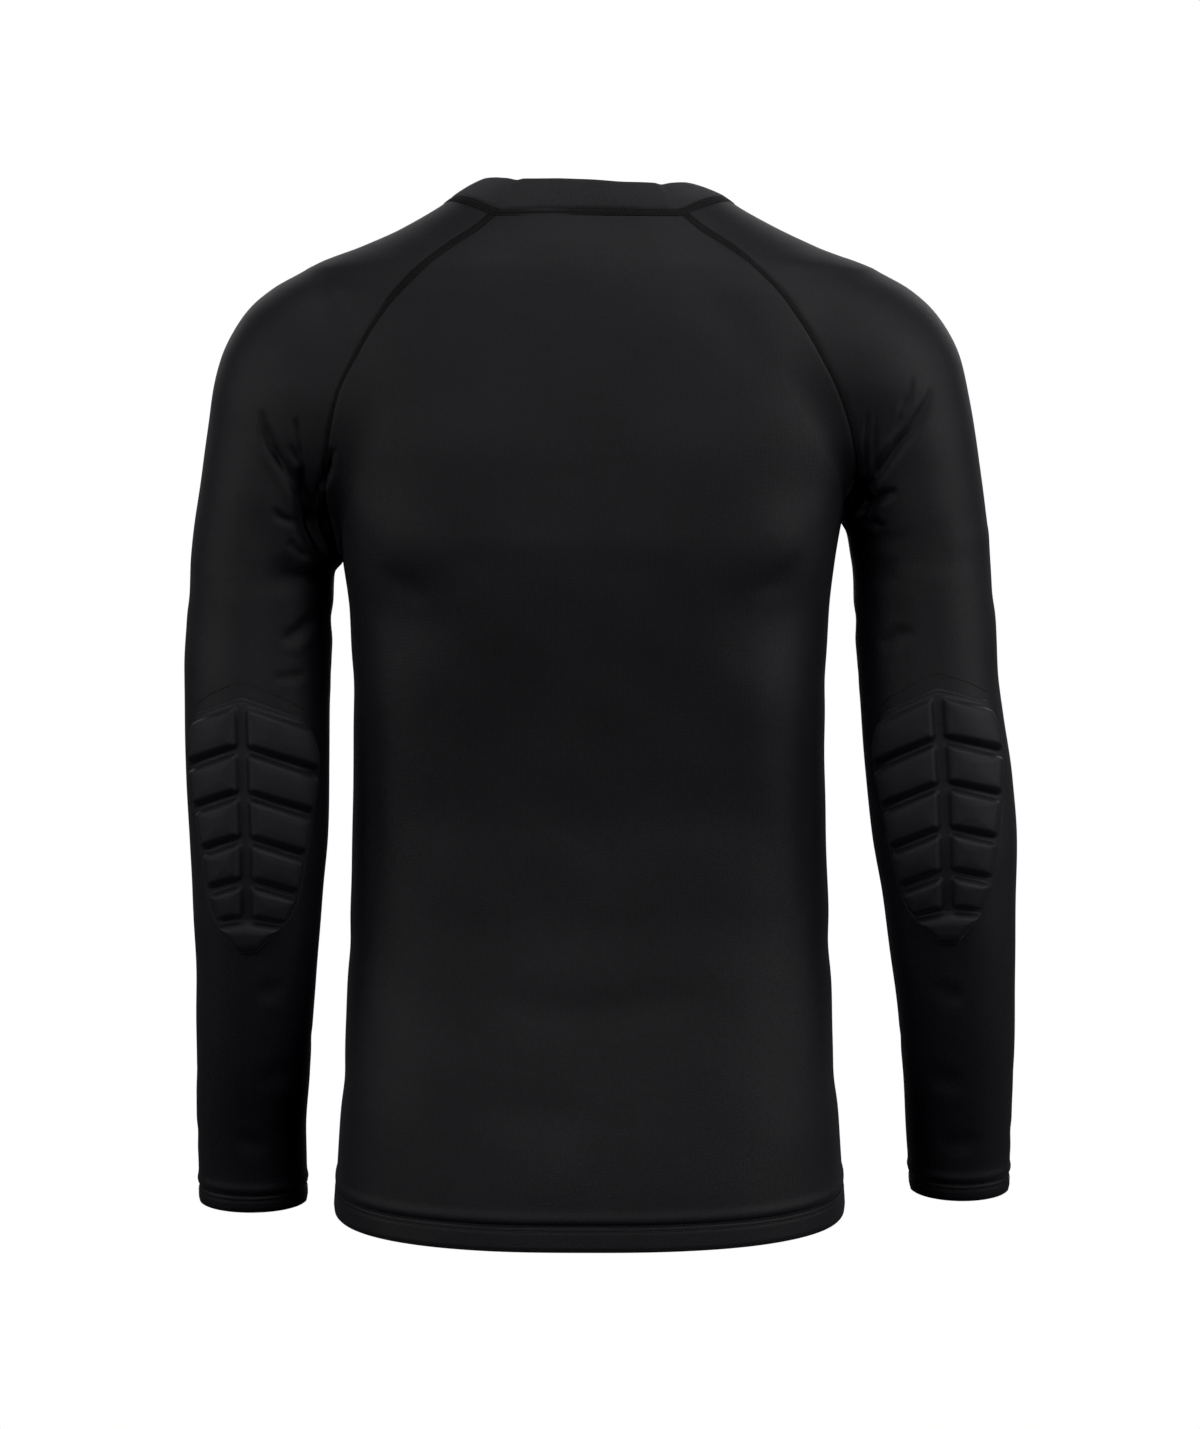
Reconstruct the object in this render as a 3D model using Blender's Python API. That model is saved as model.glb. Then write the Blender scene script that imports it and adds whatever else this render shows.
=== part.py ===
"""Padded compression shirt: a long-sleeved raglan top with a rib neck and moulded elbow pads.

The shirt keeps the hollow form that it has when worn. Metres, +Z up. The front faces -Y, and the wearer's
left arm is at +X. The origin lies at the middle of the neck, level with the tops of the shoulders.
"""

import math

import bmesh
import bpy
import numpy as np

# Cloth, seams and folds
WALL = 0.0012
SEAM_GAP = 0.0003
TURNED_LAYER = 0.0008
HEM_DEPTH = 0.014
CUFF_DEPTH = 0.011

# How finely each panel is divided
SEAM_STEPS = 16
SEAM_CROWDING = 1.5
BODY_STEPS = 10
ARM_STEPS = 13
PANEL_COLUMNS = 20
SLEEVE_COLUMNS = 20

# Underarm points, where a sleeve's ring just touches the body
UNDERARM_HEIGHT = {1: -0.231, -1: -0.207}
UNDERARM_DEPTH = 0.012

# Lower edges
HEM_SIDE = -0.652
HEM_BACK = -0.661
HEM_FRONT = -0.656
CUFF_HEIGHT = {1: -0.658, -1: -0.650}
CUFF_TILT = 0.10

# Neck
NECK_AXIS_DEPTH = 0.018
NECK_BACK_HEIGHT = -0.005
NECK_FRONT_HEIGHT = -0.085

LEFT, RIGHT = 1, -1
FRONT, BACK = -1, 1


class Table:
    """Rows of named columns, read between the rows along a smooth curve that never overshoots them."""

    def __init__(self, columns, rows):
        data = np.array(sorted(rows), float)
        self.at = data[:, 0]
        self.values = dict(zip(columns[1:], data[:, 1:].T))
        self.slopes = {name: self._slopes(column) for name, column in self.values.items()}

    def _slopes(self, column):
        steps = np.diff(self.at)
        secants = np.diff(column) / steps
        slopes = np.zeros(len(column))
        slopes[0], slopes[-1] = secants[0], secants[-1]
        before, after = secants[:-1], secants[1:]
        same_way = before * after > 0
        first = 2 * steps[1:] + steps[:-1]
        second = steps[1:] + 2 * steps[:-1]
        safe_before = np.where(same_way, before, 1.0)
        safe_after = np.where(same_way, after, 1.0)
        mean = (first + second) / (first / safe_before + second / safe_after)
        slopes[1:-1] = np.where(same_way, mean, 0.0)
        return slopes

    def __call__(self, name, at):
        at = np.clip(np.asarray(at, float), self.at[0], self.at[-1])
        row = np.clip(np.searchsorted(self.at, at) - 1, 0, len(self.at) - 2)
        step = self.at[row + 1] - self.at[row]
        t = (at - self.at[row]) / step
        value, slope = self.values[name], self.slopes[name]
        return (
            value[row] * (1 + 2 * t) * (1 - t) ** 2
            + slope[row] * step * t * (1 - t) ** 2
            + value[row + 1] * t**2 * (3 - 2 * t)
            + slope[row + 1] * step * t**2 * (t - 1)
        )


# Level sections of the body: widest is the depth at which a section is widest
TORSO = Table(
    ("height", "half_width", "front", "back", "widest", "squareness"),
    (
        (0.030, 0.0560, -0.020, 0.0540, 0.018, 2.0),
        (0.000, 0.0885, -0.030, 0.0660, 0.018, 2.0),
        (-0.018, 0.1190, -0.037, 0.0750, 0.018, 2.0),
        (-0.030, 0.1450, -0.043, 0.0820, 0.018, 2.0),
        (-0.0435, 0.1770, -0.049, 0.0890, 0.017, 2.0),
        (-0.060, 0.1870, -0.056, 0.0955, 0.016, 2.1),
        (-0.085, 0.1870, -0.067, 0.1030, 0.015, 2.2),
        (-0.120, 0.1820, -0.082, 0.1090, 0.014, 2.3),
        (-0.160, 0.1745, -0.096, 0.1125, 0.013, 2.4),
        (-0.207, 0.1620, -0.107, 0.1120, 0.012, 2.45),
        (-0.231, 0.1580, -0.1095, 0.1095, 0.012, 2.5),
        (-0.265, 0.1540, -0.110, 0.1050, 0.010, 2.5),
        (-0.300, 0.1530, -0.108, 0.1000, 0.008, 2.5),
        (-0.350, 0.1525, -0.104, 0.0940, 0.005, 2.5),
        (-0.400, 0.1535, -0.101, 0.0900, 0.003, 2.5),
        (-0.450, 0.1555, -0.099, 0.0900, 0.002, 2.5),
        (-0.500, 0.1575, -0.098, 0.0945, 0.003, 2.5),
        (-0.550, 0.1595, -0.098, 0.1030, 0.005, 2.5),
        (-0.590, 0.1625, -0.099, 0.1100, 0.006, 2.45),
        (-0.625, 0.1650, -0.100, 0.1150, 0.007, 2.4),
        (-0.665, 0.1680, -0.101, 0.1180, 0.008, 2.4),
    ),
)

# Level sections of each sleeve: inner and outer are distances out from the middle of the body
ARM_COLUMNS = ("height", "inner", "outer", "middle", "half_depth")
ARM = {
    LEFT: Table(
        ARM_COLUMNS,
        (
            (-0.0435, 0.1500, 0.1755, 0.016, 0.016),
            (-0.0565, 0.1300, 0.2010, 0.016, 0.033),
            (-0.0695, 0.1240, 0.2170, 0.016, 0.043),
            (-0.0825, 0.1215, 0.2265, 0.016, 0.049),
            (-0.1000, 0.1210, 0.2350, 0.015, 0.054),
            (-0.1215, 0.1230, 0.2410, 0.014, 0.057),
            (-0.1500, 0.1305, 0.2455, 0.013, 0.057),
            (-0.1800, 0.1410, 0.2500, 0.012, 0.055),
            (-0.2080, 0.1515, 0.2540, 0.012, 0.052),
            (-0.2310, 0.1580, 0.2565, 0.012, 0.050),
            (-0.2390, 0.1640, 0.2570, 0.012, 0.0495),
            (-0.2520, 0.1650, 0.2580, 0.013, 0.049),
            (-0.2700, 0.1660, 0.2595, 0.014, 0.0480),
            (-0.3000, 0.1665, 0.2615, 0.016, 0.0470),
            (-0.3300, 0.1675, 0.2610, 0.018, 0.0465),
            (-0.3700, 0.1680, 0.2605, 0.020, 0.0455),
            (-0.4100, 0.1695, 0.2585, 0.021, 0.0440),
            (-0.4500, 0.1730, 0.2570, 0.019, 0.0420),
            (-0.4900, 0.1765, 0.2560, 0.014, 0.0395),
            (-0.5300, 0.1805, 0.2570, 0.007, 0.0370),
            (-0.5700, 0.1835, 0.2575, -0.001, 0.0340),
            (-0.6100, 0.1865, 0.2585, -0.010, 0.0310),
            (-0.6650, 0.1870, 0.2585, -0.020, 0.0285),
        ),
    ),
    RIGHT: Table(
        ARM_COLUMNS,
        (
            (-0.0435, 0.1500, 0.1775, 0.016, 0.016),
            (-0.0565, 0.1300, 0.2025, 0.016, 0.033),
            (-0.0695, 0.1240, 0.2180, 0.016, 0.043),
            (-0.0825, 0.1220, 0.2275, 0.016, 0.049),
            (-0.1000, 0.1220, 0.2360, 0.015, 0.054),
            (-0.1215, 0.1280, 0.2425, 0.014, 0.057),
            (-0.1500, 0.1390, 0.2480, 0.013, 0.056),
            (-0.1800, 0.1520, 0.2525, 0.012, 0.053),
            (-0.2070, 0.1620, 0.2560, 0.012, 0.0505),
            (-0.2130, 0.1655, 0.2570, 0.012, 0.050),
            (-0.2260, 0.1680, 0.2580, 0.012, 0.0495),
            (-0.2390, 0.1700, 0.2590, 0.013, 0.049),
            (-0.2700, 0.1715, 0.2620, 0.014, 0.0480),
            (-0.3000, 0.1730, 0.2635, 0.016, 0.0470),
            (-0.3300, 0.1755, 0.2675, 0.018, 0.0465),
            (-0.3700, 0.1790, 0.2735, 0.020, 0.0460),
            (-0.4100, 0.1835, 0.2765, 0.021, 0.0445),
            (-0.4500, 0.1905, 0.2770, 0.019, 0.0420),
            (-0.4900, 0.1965, 0.2775, 0.014, 0.0395),
            (-0.5300, 0.2020, 0.2780, 0.007, 0.0370),
            (-0.5700, 0.2060, 0.2785, -0.001, 0.0340),
            (-0.6100, 0.2090, 0.2785, -0.010, 0.0310),
            (-0.6600, 0.2130, 0.2775, -0.020, 0.0285),
        ),
    ),
}

CAP_STEEPNESS = 3.0

# How softly a sleeve runs into the body, by height above its underarm point
BLEND = Table(
    ("above", "radius"),
    (
        (0.000, 0.0002),
        (0.012, 0.0030),
        (0.030, 0.0120),
        (0.060, 0.0280),
        (0.100, 0.0380),
        (0.135, 0.0240),
        (0.165, 0.0100),
        (0.190, 0.0060),
    ),
)

# The raglan seams, from the neck (share 0) to the underarm (share 1)
RAGLAN_COLUMNS = ("share", "out", "height")
RAGLAN = {
    BACK: Table(
        RAGLAN_COLUMNS,
        (
            (0.000, 0.0570, -0.0060),
            (0.075, 0.0710, -0.0175),
            (0.140, 0.0845, -0.0260),
            (0.212, 0.0990, -0.0365),
            (0.280, 0.1115, -0.0480),
            (0.344, 0.1220, -0.0595),
            (0.402, 0.1305, -0.0710),
            (0.467, 0.1395, -0.0845),
            (0.535, 0.1475, -0.0990),
            (0.606, 0.1555, -0.1145),
            (0.674, 0.1615, -0.1300),
            (0.745, 0.1665, -0.1470),
            (0.807, 0.1695, -0.1620),
            (0.890, 0.1715, -0.1820),
            (1.000, 0.1620, -0.2070),
        ),
    ),
    FRONT: Table(
        RAGLAN_COLUMNS,
        (
            (0.000, 0.0680, -0.0430),
            (0.120, 0.0840, -0.0570),
            (0.260, 0.1040, -0.0770),
            (0.400, 0.1240, -0.1010),
            (0.540, 0.1410, -0.1270),
            (0.670, 0.1550, -0.1530),
            (0.800, 0.1665, -0.1800),
            (0.900, 0.1690, -0.1940),
            (1.000, 0.1620, -0.2070),
        ),
    ),
}
RAGLAN_UNDERARM = (0.1620, -0.2070)
RAGLAN_FIXED_ABOVE = -0.110
OWN_FORM_FROM = 0.60

# The outer ends of a sleeve's upper rows, over the shoulder from the neck to the outer side of the arm
CROWN = Table(
    ("share", "out", "height"),
    (
        (0.00, 0.0885, -0.0025),
        (0.10, 0.1125, -0.0145),
        (0.20, 0.1400, -0.0285),
        (0.30, 0.1670, -0.0395),
        (0.40, 0.1900, -0.0500),
        (0.50, 0.2095, -0.0635),
        (0.60, 0.2250, -0.0815),
        (0.70, 0.2355, -0.1045),
        (0.80, 0.2430, -0.1345),
        (0.90, 0.2490, -0.1690),
        (1.00, 0.2550, -0.2070),
    ),
)

# Neck rib: how far its top edge stands above the neck seam and leans in over it
RIB_RISE = {"back": 0.0178, "side": 0.0100, "front": 0.0160}
RIB_LEAN = {"back": 0.0060, "side": 0.0200, "front": 0.0100}
RIB_THICKNESS = 0.0022
RIB_TILT = 0.0018
RIB_BULGE = 0.0006

# Elbow pads, measured down from the apex and across from the spine, along the sleeve
PAD_APEX_HEIGHT = {LEFT: -0.314, RIGHT: -0.308}
PAD_TURN_AT_APEX = {LEFT: 8.0, RIGHT: 2.0}
PAD_TURN_AT_TIP = {LEFT: 4.5, RIGHT: -6.5}
PAD_LEAN = {LEFT: 0.0, RIGHT: 0.09}
PAD_OUTER_SHARE = {LEFT: 0.82, RIGHT: 0.88}
PAD_BODY_SHARE = {LEFT: 1.00, RIGHT: 0.93}
PAD_CLEARANCE = 0.0008
PAD_FLANGE = 0.0015
PAD_BLOCK_HEIGHT = 0.0052
PAD_RIM = 0.0040
PAD_SPINE = 0.0028
PAD_SIDE_SLOPE = 0.0032
PAD_UPPER_SLOPE = 0.0030
PAD_LOWER_SLOPE = 0.0050
PAD_OUTLINE = Table(
    ("down", "half_width", "chevron"),
    (
        (0.0000, 0.0400, 0.38),
        (0.0110, 0.0510, 0.38),
        (0.0220, 0.0545, 0.38),
        (0.0370, 0.0535, 0.38),
        (0.0550, 0.0495, 0.38),
        (0.0730, 0.0455, 0.38),
        (0.0910, 0.0415, 0.38),
        (0.1170, 0.0365, 0.36),
        (0.1350, 0.0300, 0.30),
        (0.1480, 0.0220, 0.12),
        (0.1580, 0.0145, -0.10),
        (0.1675, 0.0060, -0.30),
    ),
)
PAD_BLOCKS = (
    (0.0064, 0.0313),
    (0.0351, 0.0600),
    (0.0637, 0.0887),
    (0.0924, 0.1156),
    (0.1202, 0.1406),
)
PAD_TIP = (0.1440, 0.1640)
PAD_LENGTH = 0.1675
PAD_FULL_WIDTH = 0.026


def unit(vectors):
    return vectors / np.linalg.norm(vectors, axis=-1, keepdims=True)


def smoothstep(value):
    t = np.clip(value, 0.0, 1.0)
    return t * t * (3 - 2 * t)


def torso_form(points):
    """Below zero inside the body, above zero outside it."""
    x, y, z = points.T
    half_width, widest = TORSO("half_width", z), TORSO("widest", z)
    front, back = TORSO("front", z), TORSO("back", z)
    square = TORSO("squareness", z)
    depth = np.where(y > widest, back - widest, widest - front)
    across, along = np.abs(x) / half_width, np.abs(y - widest) / depth
    share = (across**square + along**square) ** (1 / square)
    return (share - 1) * np.minimum(half_width, (back - front) / 2)


def arm_form(side):
    """Below zero inside one sleeve, above zero outside it."""
    table = ARM[side]
    top = table.at[-1]

    def form(points):
        x, y, z = points.T
        inner, outer = table("inner", z), table("outer", z)
        middle, half_depth = table("middle", z), table("half_depth", z)
        half_width = (outer - inner) / 2
        share = np.hypot((side * x - (inner + outer) / 2) / half_width, (y - middle) / half_depth)
        return (share - 1) * np.minimum(half_width, half_depth) + CAP_STEEPNESS * np.maximum(z - top, 0)

    return form


ARM_FORM = {side: arm_form(side) for side in (LEFT, RIGHT)}


def shirt_form(points):
    """The body and both sleeves run together, with a soft hollow where they meet."""
    value = torso_form(points)
    for side in (LEFT, RIGHT):
        arm = ARM_FORM[side](points)
        radius = BLEND("radius", points[:, 2] - UNDERARM_HEIGHT[side])
        share = np.clip(0.5 + 0.5 * (arm - value) / radius, 0, 1)
        value = arm * (1 - share) + value * share - radius * share * (1 - share)
    return value


def outward(form, points, step=0.0004):
    """The direction straight out of a form at each point."""
    slopes = [form(points + axis) - form(points - axis) for axis in np.eye(3) * step]
    return unit(np.stack(slopes, axis=1))


def cast(form, starts, directions, reach, samples=60, rounds=40):
    """The first place along each ray where the form's sign changes."""
    steps = np.linspace(0, reach, samples)
    inside = np.array([form(starts + directions * s) > 0 for s in steps])
    changed = inside != inside[0]
    first = np.maximum(np.argmax(changed, axis=0), 1)
    low, high = steps[first - 1], steps[first]
    for _ in range(rounds):
        middle = (low + high) / 2
        beyond = (form(starts + directions * middle[:, None]) > 0) != inside[0]
        low, high = np.where(beyond, low, middle), np.where(beyond, middle, high)
    return starts + directions * high[:, None]


def underarm_share(share):
    """How near to the underarm a seam's row is, from 0 to 1."""
    return smoothstep((share - OWN_FORM_FROM) / (1 - OWN_FORM_FROM))


def seam_outward(form, own_form, points, share):
    """The direction out of the shirt, turning to a panel's own form where the crease under the arm is sharp."""
    own = underarm_share(share)
    return unit(outward(form, points) * (1 - own) + outward(own_form, points) * own)


def underarm(side):
    height = UNDERARM_HEIGHT[side]
    return np.array((side * float(TORSO("half_width", height)), UNDERARM_DEPTH, height))


def seam_share(step):
    """How far down the raglan seams a row ends. The rows crowd towards the underarm, where the opening closes."""
    return 1 - (1 - step / SEAM_STEPS) ** SEAM_CROWDING


def let_down(side, out, height):
    """Heights near the underarm, let down to where it lies on this side."""
    table_out, table_height = RAGLAN_UNDERARM
    foot = underarm(side)
    low = smoothstep((RAGLAN_FIXED_ABOVE - height) / (RAGLAN_FIXED_ABOVE - table_height))
    return out + (side * foot[0] - table_out) * low, height + (foot[2] - table_height) * low


def raglan_seam(side, face):
    """Points down one raglan seam, from the neck to the underarm."""
    shares = seam_share(np.arange(SEAM_STEPS + 1))
    out, height = let_down(side, RAGLAN[face]("out", shares), RAGLAN[face]("height", shares))
    starts = np.stack((side * out, np.full_like(out, face * 0.20), height), axis=1)[:-1]
    towards = np.tile((0.0, -face * 1.0, 0.0), (SEAM_STEPS, 1))
    return np.vstack((cast(shirt_form, starts, towards, 0.22), underarm(side)))


SEAM = {(side, face): raglan_seam(side, face) for side in (LEFT, RIGHT) for face in (FRONT, BACK)}


def panel_row(form, left_end, right_end, middle_height, fan, axis_depth, face):
    """One row across the front or back, from the wearer's left to right, fanned out from inside the body."""
    shares = np.linspace(0, 1, PANEL_COLUMNS + 1)
    bow = np.abs(2 * shares - 1) ** 2.2
    end_height = np.where(shares < 0.5, left_end[2], right_end[2])
    height = middle_height + (end_height - middle_height) * bow
    turns = []
    for end in (left_end, right_end):
        turns.append(math.atan2(abs(end[1] - axis_depth), abs(end[0]) - fan))
    angle = turns[0] + (math.pi - turns[1] - turns[0]) * shares
    starts = np.stack((fan * np.cos(math.pi * shares), np.full_like(shares, axis_depth), height), axis=1)
    ways = np.stack((np.cos(angle), face * np.sin(angle), np.zeros_like(angle)), axis=1)
    row = cast(form, starts, ways, 0.30)
    row[0], row[-1] = left_end, right_end
    return row


def hem_height(face, shares):
    middle = HEM_BACK if face == BACK else HEM_FRONT
    return middle + (HEM_SIDE - middle) * np.abs(2 * shares - 1) ** 2.5


def body_panel(face):
    """Outer points, outward directions and wall of the front or back, from the neck down to the hem."""
    rows, normals, walls = [], [], []
    neck = NECK_BACK_HEIGHT if face == BACK else NECK_FRONT_HEIGHT
    chest = (UNDERARM_HEIGHT[LEFT] + UNDERARM_HEIGHT[RIGHT]) / 2
    for step in range(SEAM_STEPS + 1):
        share = seam_share(step)
        ends = SEAM[LEFT, face][step], SEAM[RIGHT, face][step]
        depth = NECK_AXIS_DEPTH + (UNDERARM_DEPTH - NECK_AXIS_DEPTH) * share
        form = torso_form if step == SEAM_STEPS else shirt_form
        row = panel_row(form, *ends, neck + (chest - neck) * share, 0.11 * share, depth, face)
        rows.append(row)
        normals.append(seam_outward(form, torso_form, row, share))
        walls.append(WALL)
    shares = np.linspace(0, 1, PANEL_COLUMNS + 1)
    bottom = hem_height(face, shares)
    top = rows[-1][:, 2]
    drops = list(np.linspace(0, 1, BODY_STEPS + 1)[1:-1])
    levels = [top + (bottom + HEM_DEPTH - top) * drop for drop in drops]
    levels += [bottom + HEM_DEPTH + 0.001, bottom + HEM_DEPTH, bottom]
    thick = [WALL] * (len(levels) - 2) + [WALL + TURNED_LAYER] * 2
    for level, wall in zip(levels, thick):
        widest = TORSO("widest", level)
        angle = math.pi * shares
        starts = np.stack((0.11 * np.cos(angle), widest, level), axis=1)
        ways = np.stack((np.cos(angle), face * np.sin(angle), np.zeros_like(angle)), axis=1)
        row = cast(torso_form, starts, ways, 0.30)
        rows.append(row)
        normals.append(outward(torso_form, row))
        walls.append(wall)
    return np.array(rows), np.array(normals), np.array(walls)


def sleeve_ring(side, level):
    """A closed ring round one sleeve, from its inner side over the front, outer side and back."""
    table = ARM[side]
    angle = math.pi - 2 * math.pi * np.arange(SLEEVE_COLUMNS) / SLEEVE_COLUMNS
    lean = smoothstep((UNDERARM_HEIGHT[side] - level) / (UNDERARM_HEIGHT[side] - CUFF_HEIGHT[side]))
    half_depth = table("half_depth", level)
    height = level + CUFF_TILT * lean * half_depth * np.sin(angle)
    inner, outer = table("inner", height), table("outer", height)
    out = (inner + outer) / 2 + (outer - inner) / 2 * np.cos(angle)
    depth = table("middle", height) - table("half_depth", height) * np.sin(angle)
    return np.stack((side * out, depth, height), axis=1)


def sleeve(side):
    """Outer points, outward directions and wall of one sleeve. The rows above the underarm are open arcs."""
    table = ARM[side]
    arcs, arc_normals = [], []
    foot = underarm(side)
    centre_out = float(table("inner", foot[2]) + table("outer", foot[2])) / 2
    for step in range(SEAM_STEPS):
        share = seam_share(step)
        front, back = SEAM[side, FRONT][step], SEAM[side, BACK][step]
        middle = (front + back) / 2
        even_share = step / SEAM_STEPS
        crown_height = let_down(side, RAGLAN_UNDERARM[0], CROWN("height", even_share))[1]
        crown = np.array((side * float(CROWN("out", even_share)), middle[1], float(crown_height)))
        outer_way = unit(crown - middle)
        chord = unit(back - front)
        outer_way = unit(outer_way - chord * (outer_way @ chord))
        offset = (centre_out - side * foot[0]) * share**2
        centre = middle + outer_way * offset
        reach = np.linalg.norm(back - front) / 2
        turn = math.atan2(reach, -offset)
        angle = np.linspace(-turn, turn, SLEEVE_COLUMNS + 1)
        ways = unit(np.outer(np.cos(angle), outer_way) + np.outer(np.sin(angle), chord))
        arc = cast(shirt_form, np.tile(centre, (len(angle), 1)), ways, 0.22)
        arc[0], arc[-1] = front, back
        arcs.append(arc)
        arc_normals.append(seam_outward(shirt_form, ARM_FORM[side], arc, share))
    cuff = CUFF_HEIGHT[side]
    levels = list(np.linspace(foot[2], cuff + CUFF_DEPTH + 0.001, ARM_STEPS + 1))
    levels += [cuff + CUFF_DEPTH, cuff]
    walls = [WALL] * (SEAM_STEPS + ARM_STEPS + 1) + [WALL + TURNED_LAYER] * 2
    rings = [sleeve_ring(side, level) for level in levels]
    ring_normals = [outward(ARM_FORM[side], ring) for ring in rings]
    return arcs + rings, arc_normals + ring_normals, np.array(walls)


def pulled_in(points, normals, before, after, inside):
    """Edge points drawn back from their seam by half the seam's gap, within the cloth."""
    along = unit(after - before)
    away = np.cross(normals, along)
    towards = np.sign(np.sum(away * (inside - points), axis=-1, keepdims=True))
    return unit(away) * towards * SEAM_GAP / 2


def along_edge(edge):
    """The points before and after each point of an open edge."""
    padded = np.vstack((edge[:1], edge, edge[-1:]))
    return padded[:-2], padded[2:]


def make_object(name, vertices, faces, colour, roughness):
    mesh = bpy.data.meshes.new(name)
    mesh.from_pydata([tuple(v) for v in vertices], [], faces)
    work = bmesh.new()
    work.from_mesh(mesh)
    bmesh.ops.recalc_face_normals(work, faces=work.faces)
    if work.calc_volume(signed=True) < 0:
        bmesh.ops.reverse_faces(work, faces=work.faces)
    work.to_mesh(mesh)
    work.free()
    mesh.shade_smooth()
    mesh.set_sharp_from_angle(angle=math.radians(50))
    material = bpy.data.materials.new(name)
    material.use_nodes = True
    shader = material.node_tree.nodes["Principled BSDF"]
    shader.inputs["Base Color"].default_value = (*colour, 1.0)
    shader.inputs["Roughness"].default_value = roughness
    shader.inputs["Metallic"].default_value = 0.0
    mesh.materials.append(material)
    made = bpy.data.objects.new(name, mesh)
    bpy.context.scene.collection.objects.link(made)
    return made


def walled_sheet(name, outer, inner, quads, colour, roughness):
    """A closed solid between an outer and an inner sheet that share the same quads."""
    count = len(outer)
    faces = [tuple(quad) for quad in quads]
    faces += [tuple(count + v for v in reversed(quad)) for quad in quads]
    used = {}
    for quad in quads:
        for a, b in zip(quad, quad[1:] + quad[:1]):
            used[a, b] = True
    for a, b in used:
        if (b, a) not in used:
            faces.append((b, a, count + a, count + b))
    return make_object(name, np.vstack((outer, inner)), faces, colour, roughness)


CLOTH_COLOUR = (0.0155, 0.0160, 0.0170)
RIB_COLOUR = (0.0200, 0.0205, 0.0210)
PAD_COLOUR = (0.0160, 0.0170, 0.0180)
CLOTH_ROUGHNESS = 0.62
PAD_ROUGHNESS = 0.50


def make_body_panel(name, face):
    rows, normals, walls = body_panel(face)
    moved = rows.copy()
    for column, inside in ((0, 1), (-1, -2)):
        before, after = along_edge(rows[:, column])
        moved[:, column] += pulled_in(rows[:, column], normals[:, column], before, after, rows[:, inside])
        sunk = underarm_share(seam_share(np.arange(SEAM_STEPS + 1)))[:, None] * SEAM_GAP / 2
        moved[: SEAM_STEPS + 1, column] -= normals[: SEAM_STEPS + 1, column] * sunk
    before, after = along_edge(rows[0])
    moved[0] += pulled_in(rows[0], normals[0], before, after, rows[1])
    under = moved - normals * walls[:, None, None]
    width = PANEL_COLUMNS + 1
    quads = []
    for row in range(len(rows) - 1):
        for column in range(PANEL_COLUMNS):
            corner = row * width + column
            quads.append([corner, corner + 1, corner + width + 1, corner + width])
    return walled_sheet(
        name, moved.reshape(-1, 3), under.reshape(-1, 3), quads, CLOTH_COLOUR, CLOTH_ROUGHNESS
    )


def make_sleeve(name, side):
    rows, normals, walls = sleeve(side)
    outer, inner, index = [], [], []
    for number, (row, normal, wall) in enumerate(zip(rows, normals, walls)):
        moved = row.copy()
        if number == 0:
            before, after = along_edge(row)
            moved += pulled_in(row, normal, before, after, rows[1])
        if number < SEAM_STEPS:
            following = rows[number + 1]
            sunk = underarm_share(seam_share(number)) * SEAM_GAP / 2
            for column, inside, next_column in ((0, 1, 0), (-1, -2, -1 if number + 1 < SEAM_STEPS else 0)):
                previous = rows[max(number - 1, 0)][column]
                moved[column] += pulled_in(
                    row[column : column + 1 or None],
                    normal[column : column + 1 or None],
                    previous[None],
                    following[next_column][None],
                    row[inside][None],
                )[0]
                moved[column] -= normal[column] * sunk
        if number == SEAM_STEPS:
            moved[0] += (side * SEAM_GAP, 0, 0)
        start = len(outer)
        outer.extend(moved)
        inner.extend(moved - normal * wall)
        places = list(range(start, len(outer)))
        if number >= SEAM_STEPS:
            places.append(start)
        index.append(places)
    quads = []
    for upper, lower in zip(index[:-1], index[1:]):
        for column in range(SLEEVE_COLUMNS):
            quads.append([upper[column], upper[column + 1], lower[column + 1], lower[column]])
    return walled_sheet(name, np.array(outer), np.array(inner), quads, CLOTH_COLOUR, CLOTH_ROUGHNESS)


def neck_loop():
    """The neck seam as a closed loop of panel and sleeve edge points, with their outward directions."""
    pieces = []
    for face, step in ((BACK, 1), (FRONT, -1)):
        rows, normals, _ = body_panel(face)
        pieces.append((rows[0][::step], normals[0][::step]))
    sleeves = {}
    for side in (LEFT, RIGHT):
        rows, normals, _ = sleeve(side)
        sleeves[side] = (rows[0], normals[0])
    back, front = pieces
    right = sleeves[RIGHT][0][::-1], sleeves[RIGHT][1][::-1]
    left = sleeves[LEFT]
    chain = (back, right, front, left)
    points = np.vstack([part[0][:-1] for part in chain])
    normals = np.vstack([part[1][:-1] for part in chain])
    return points, normals


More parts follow.
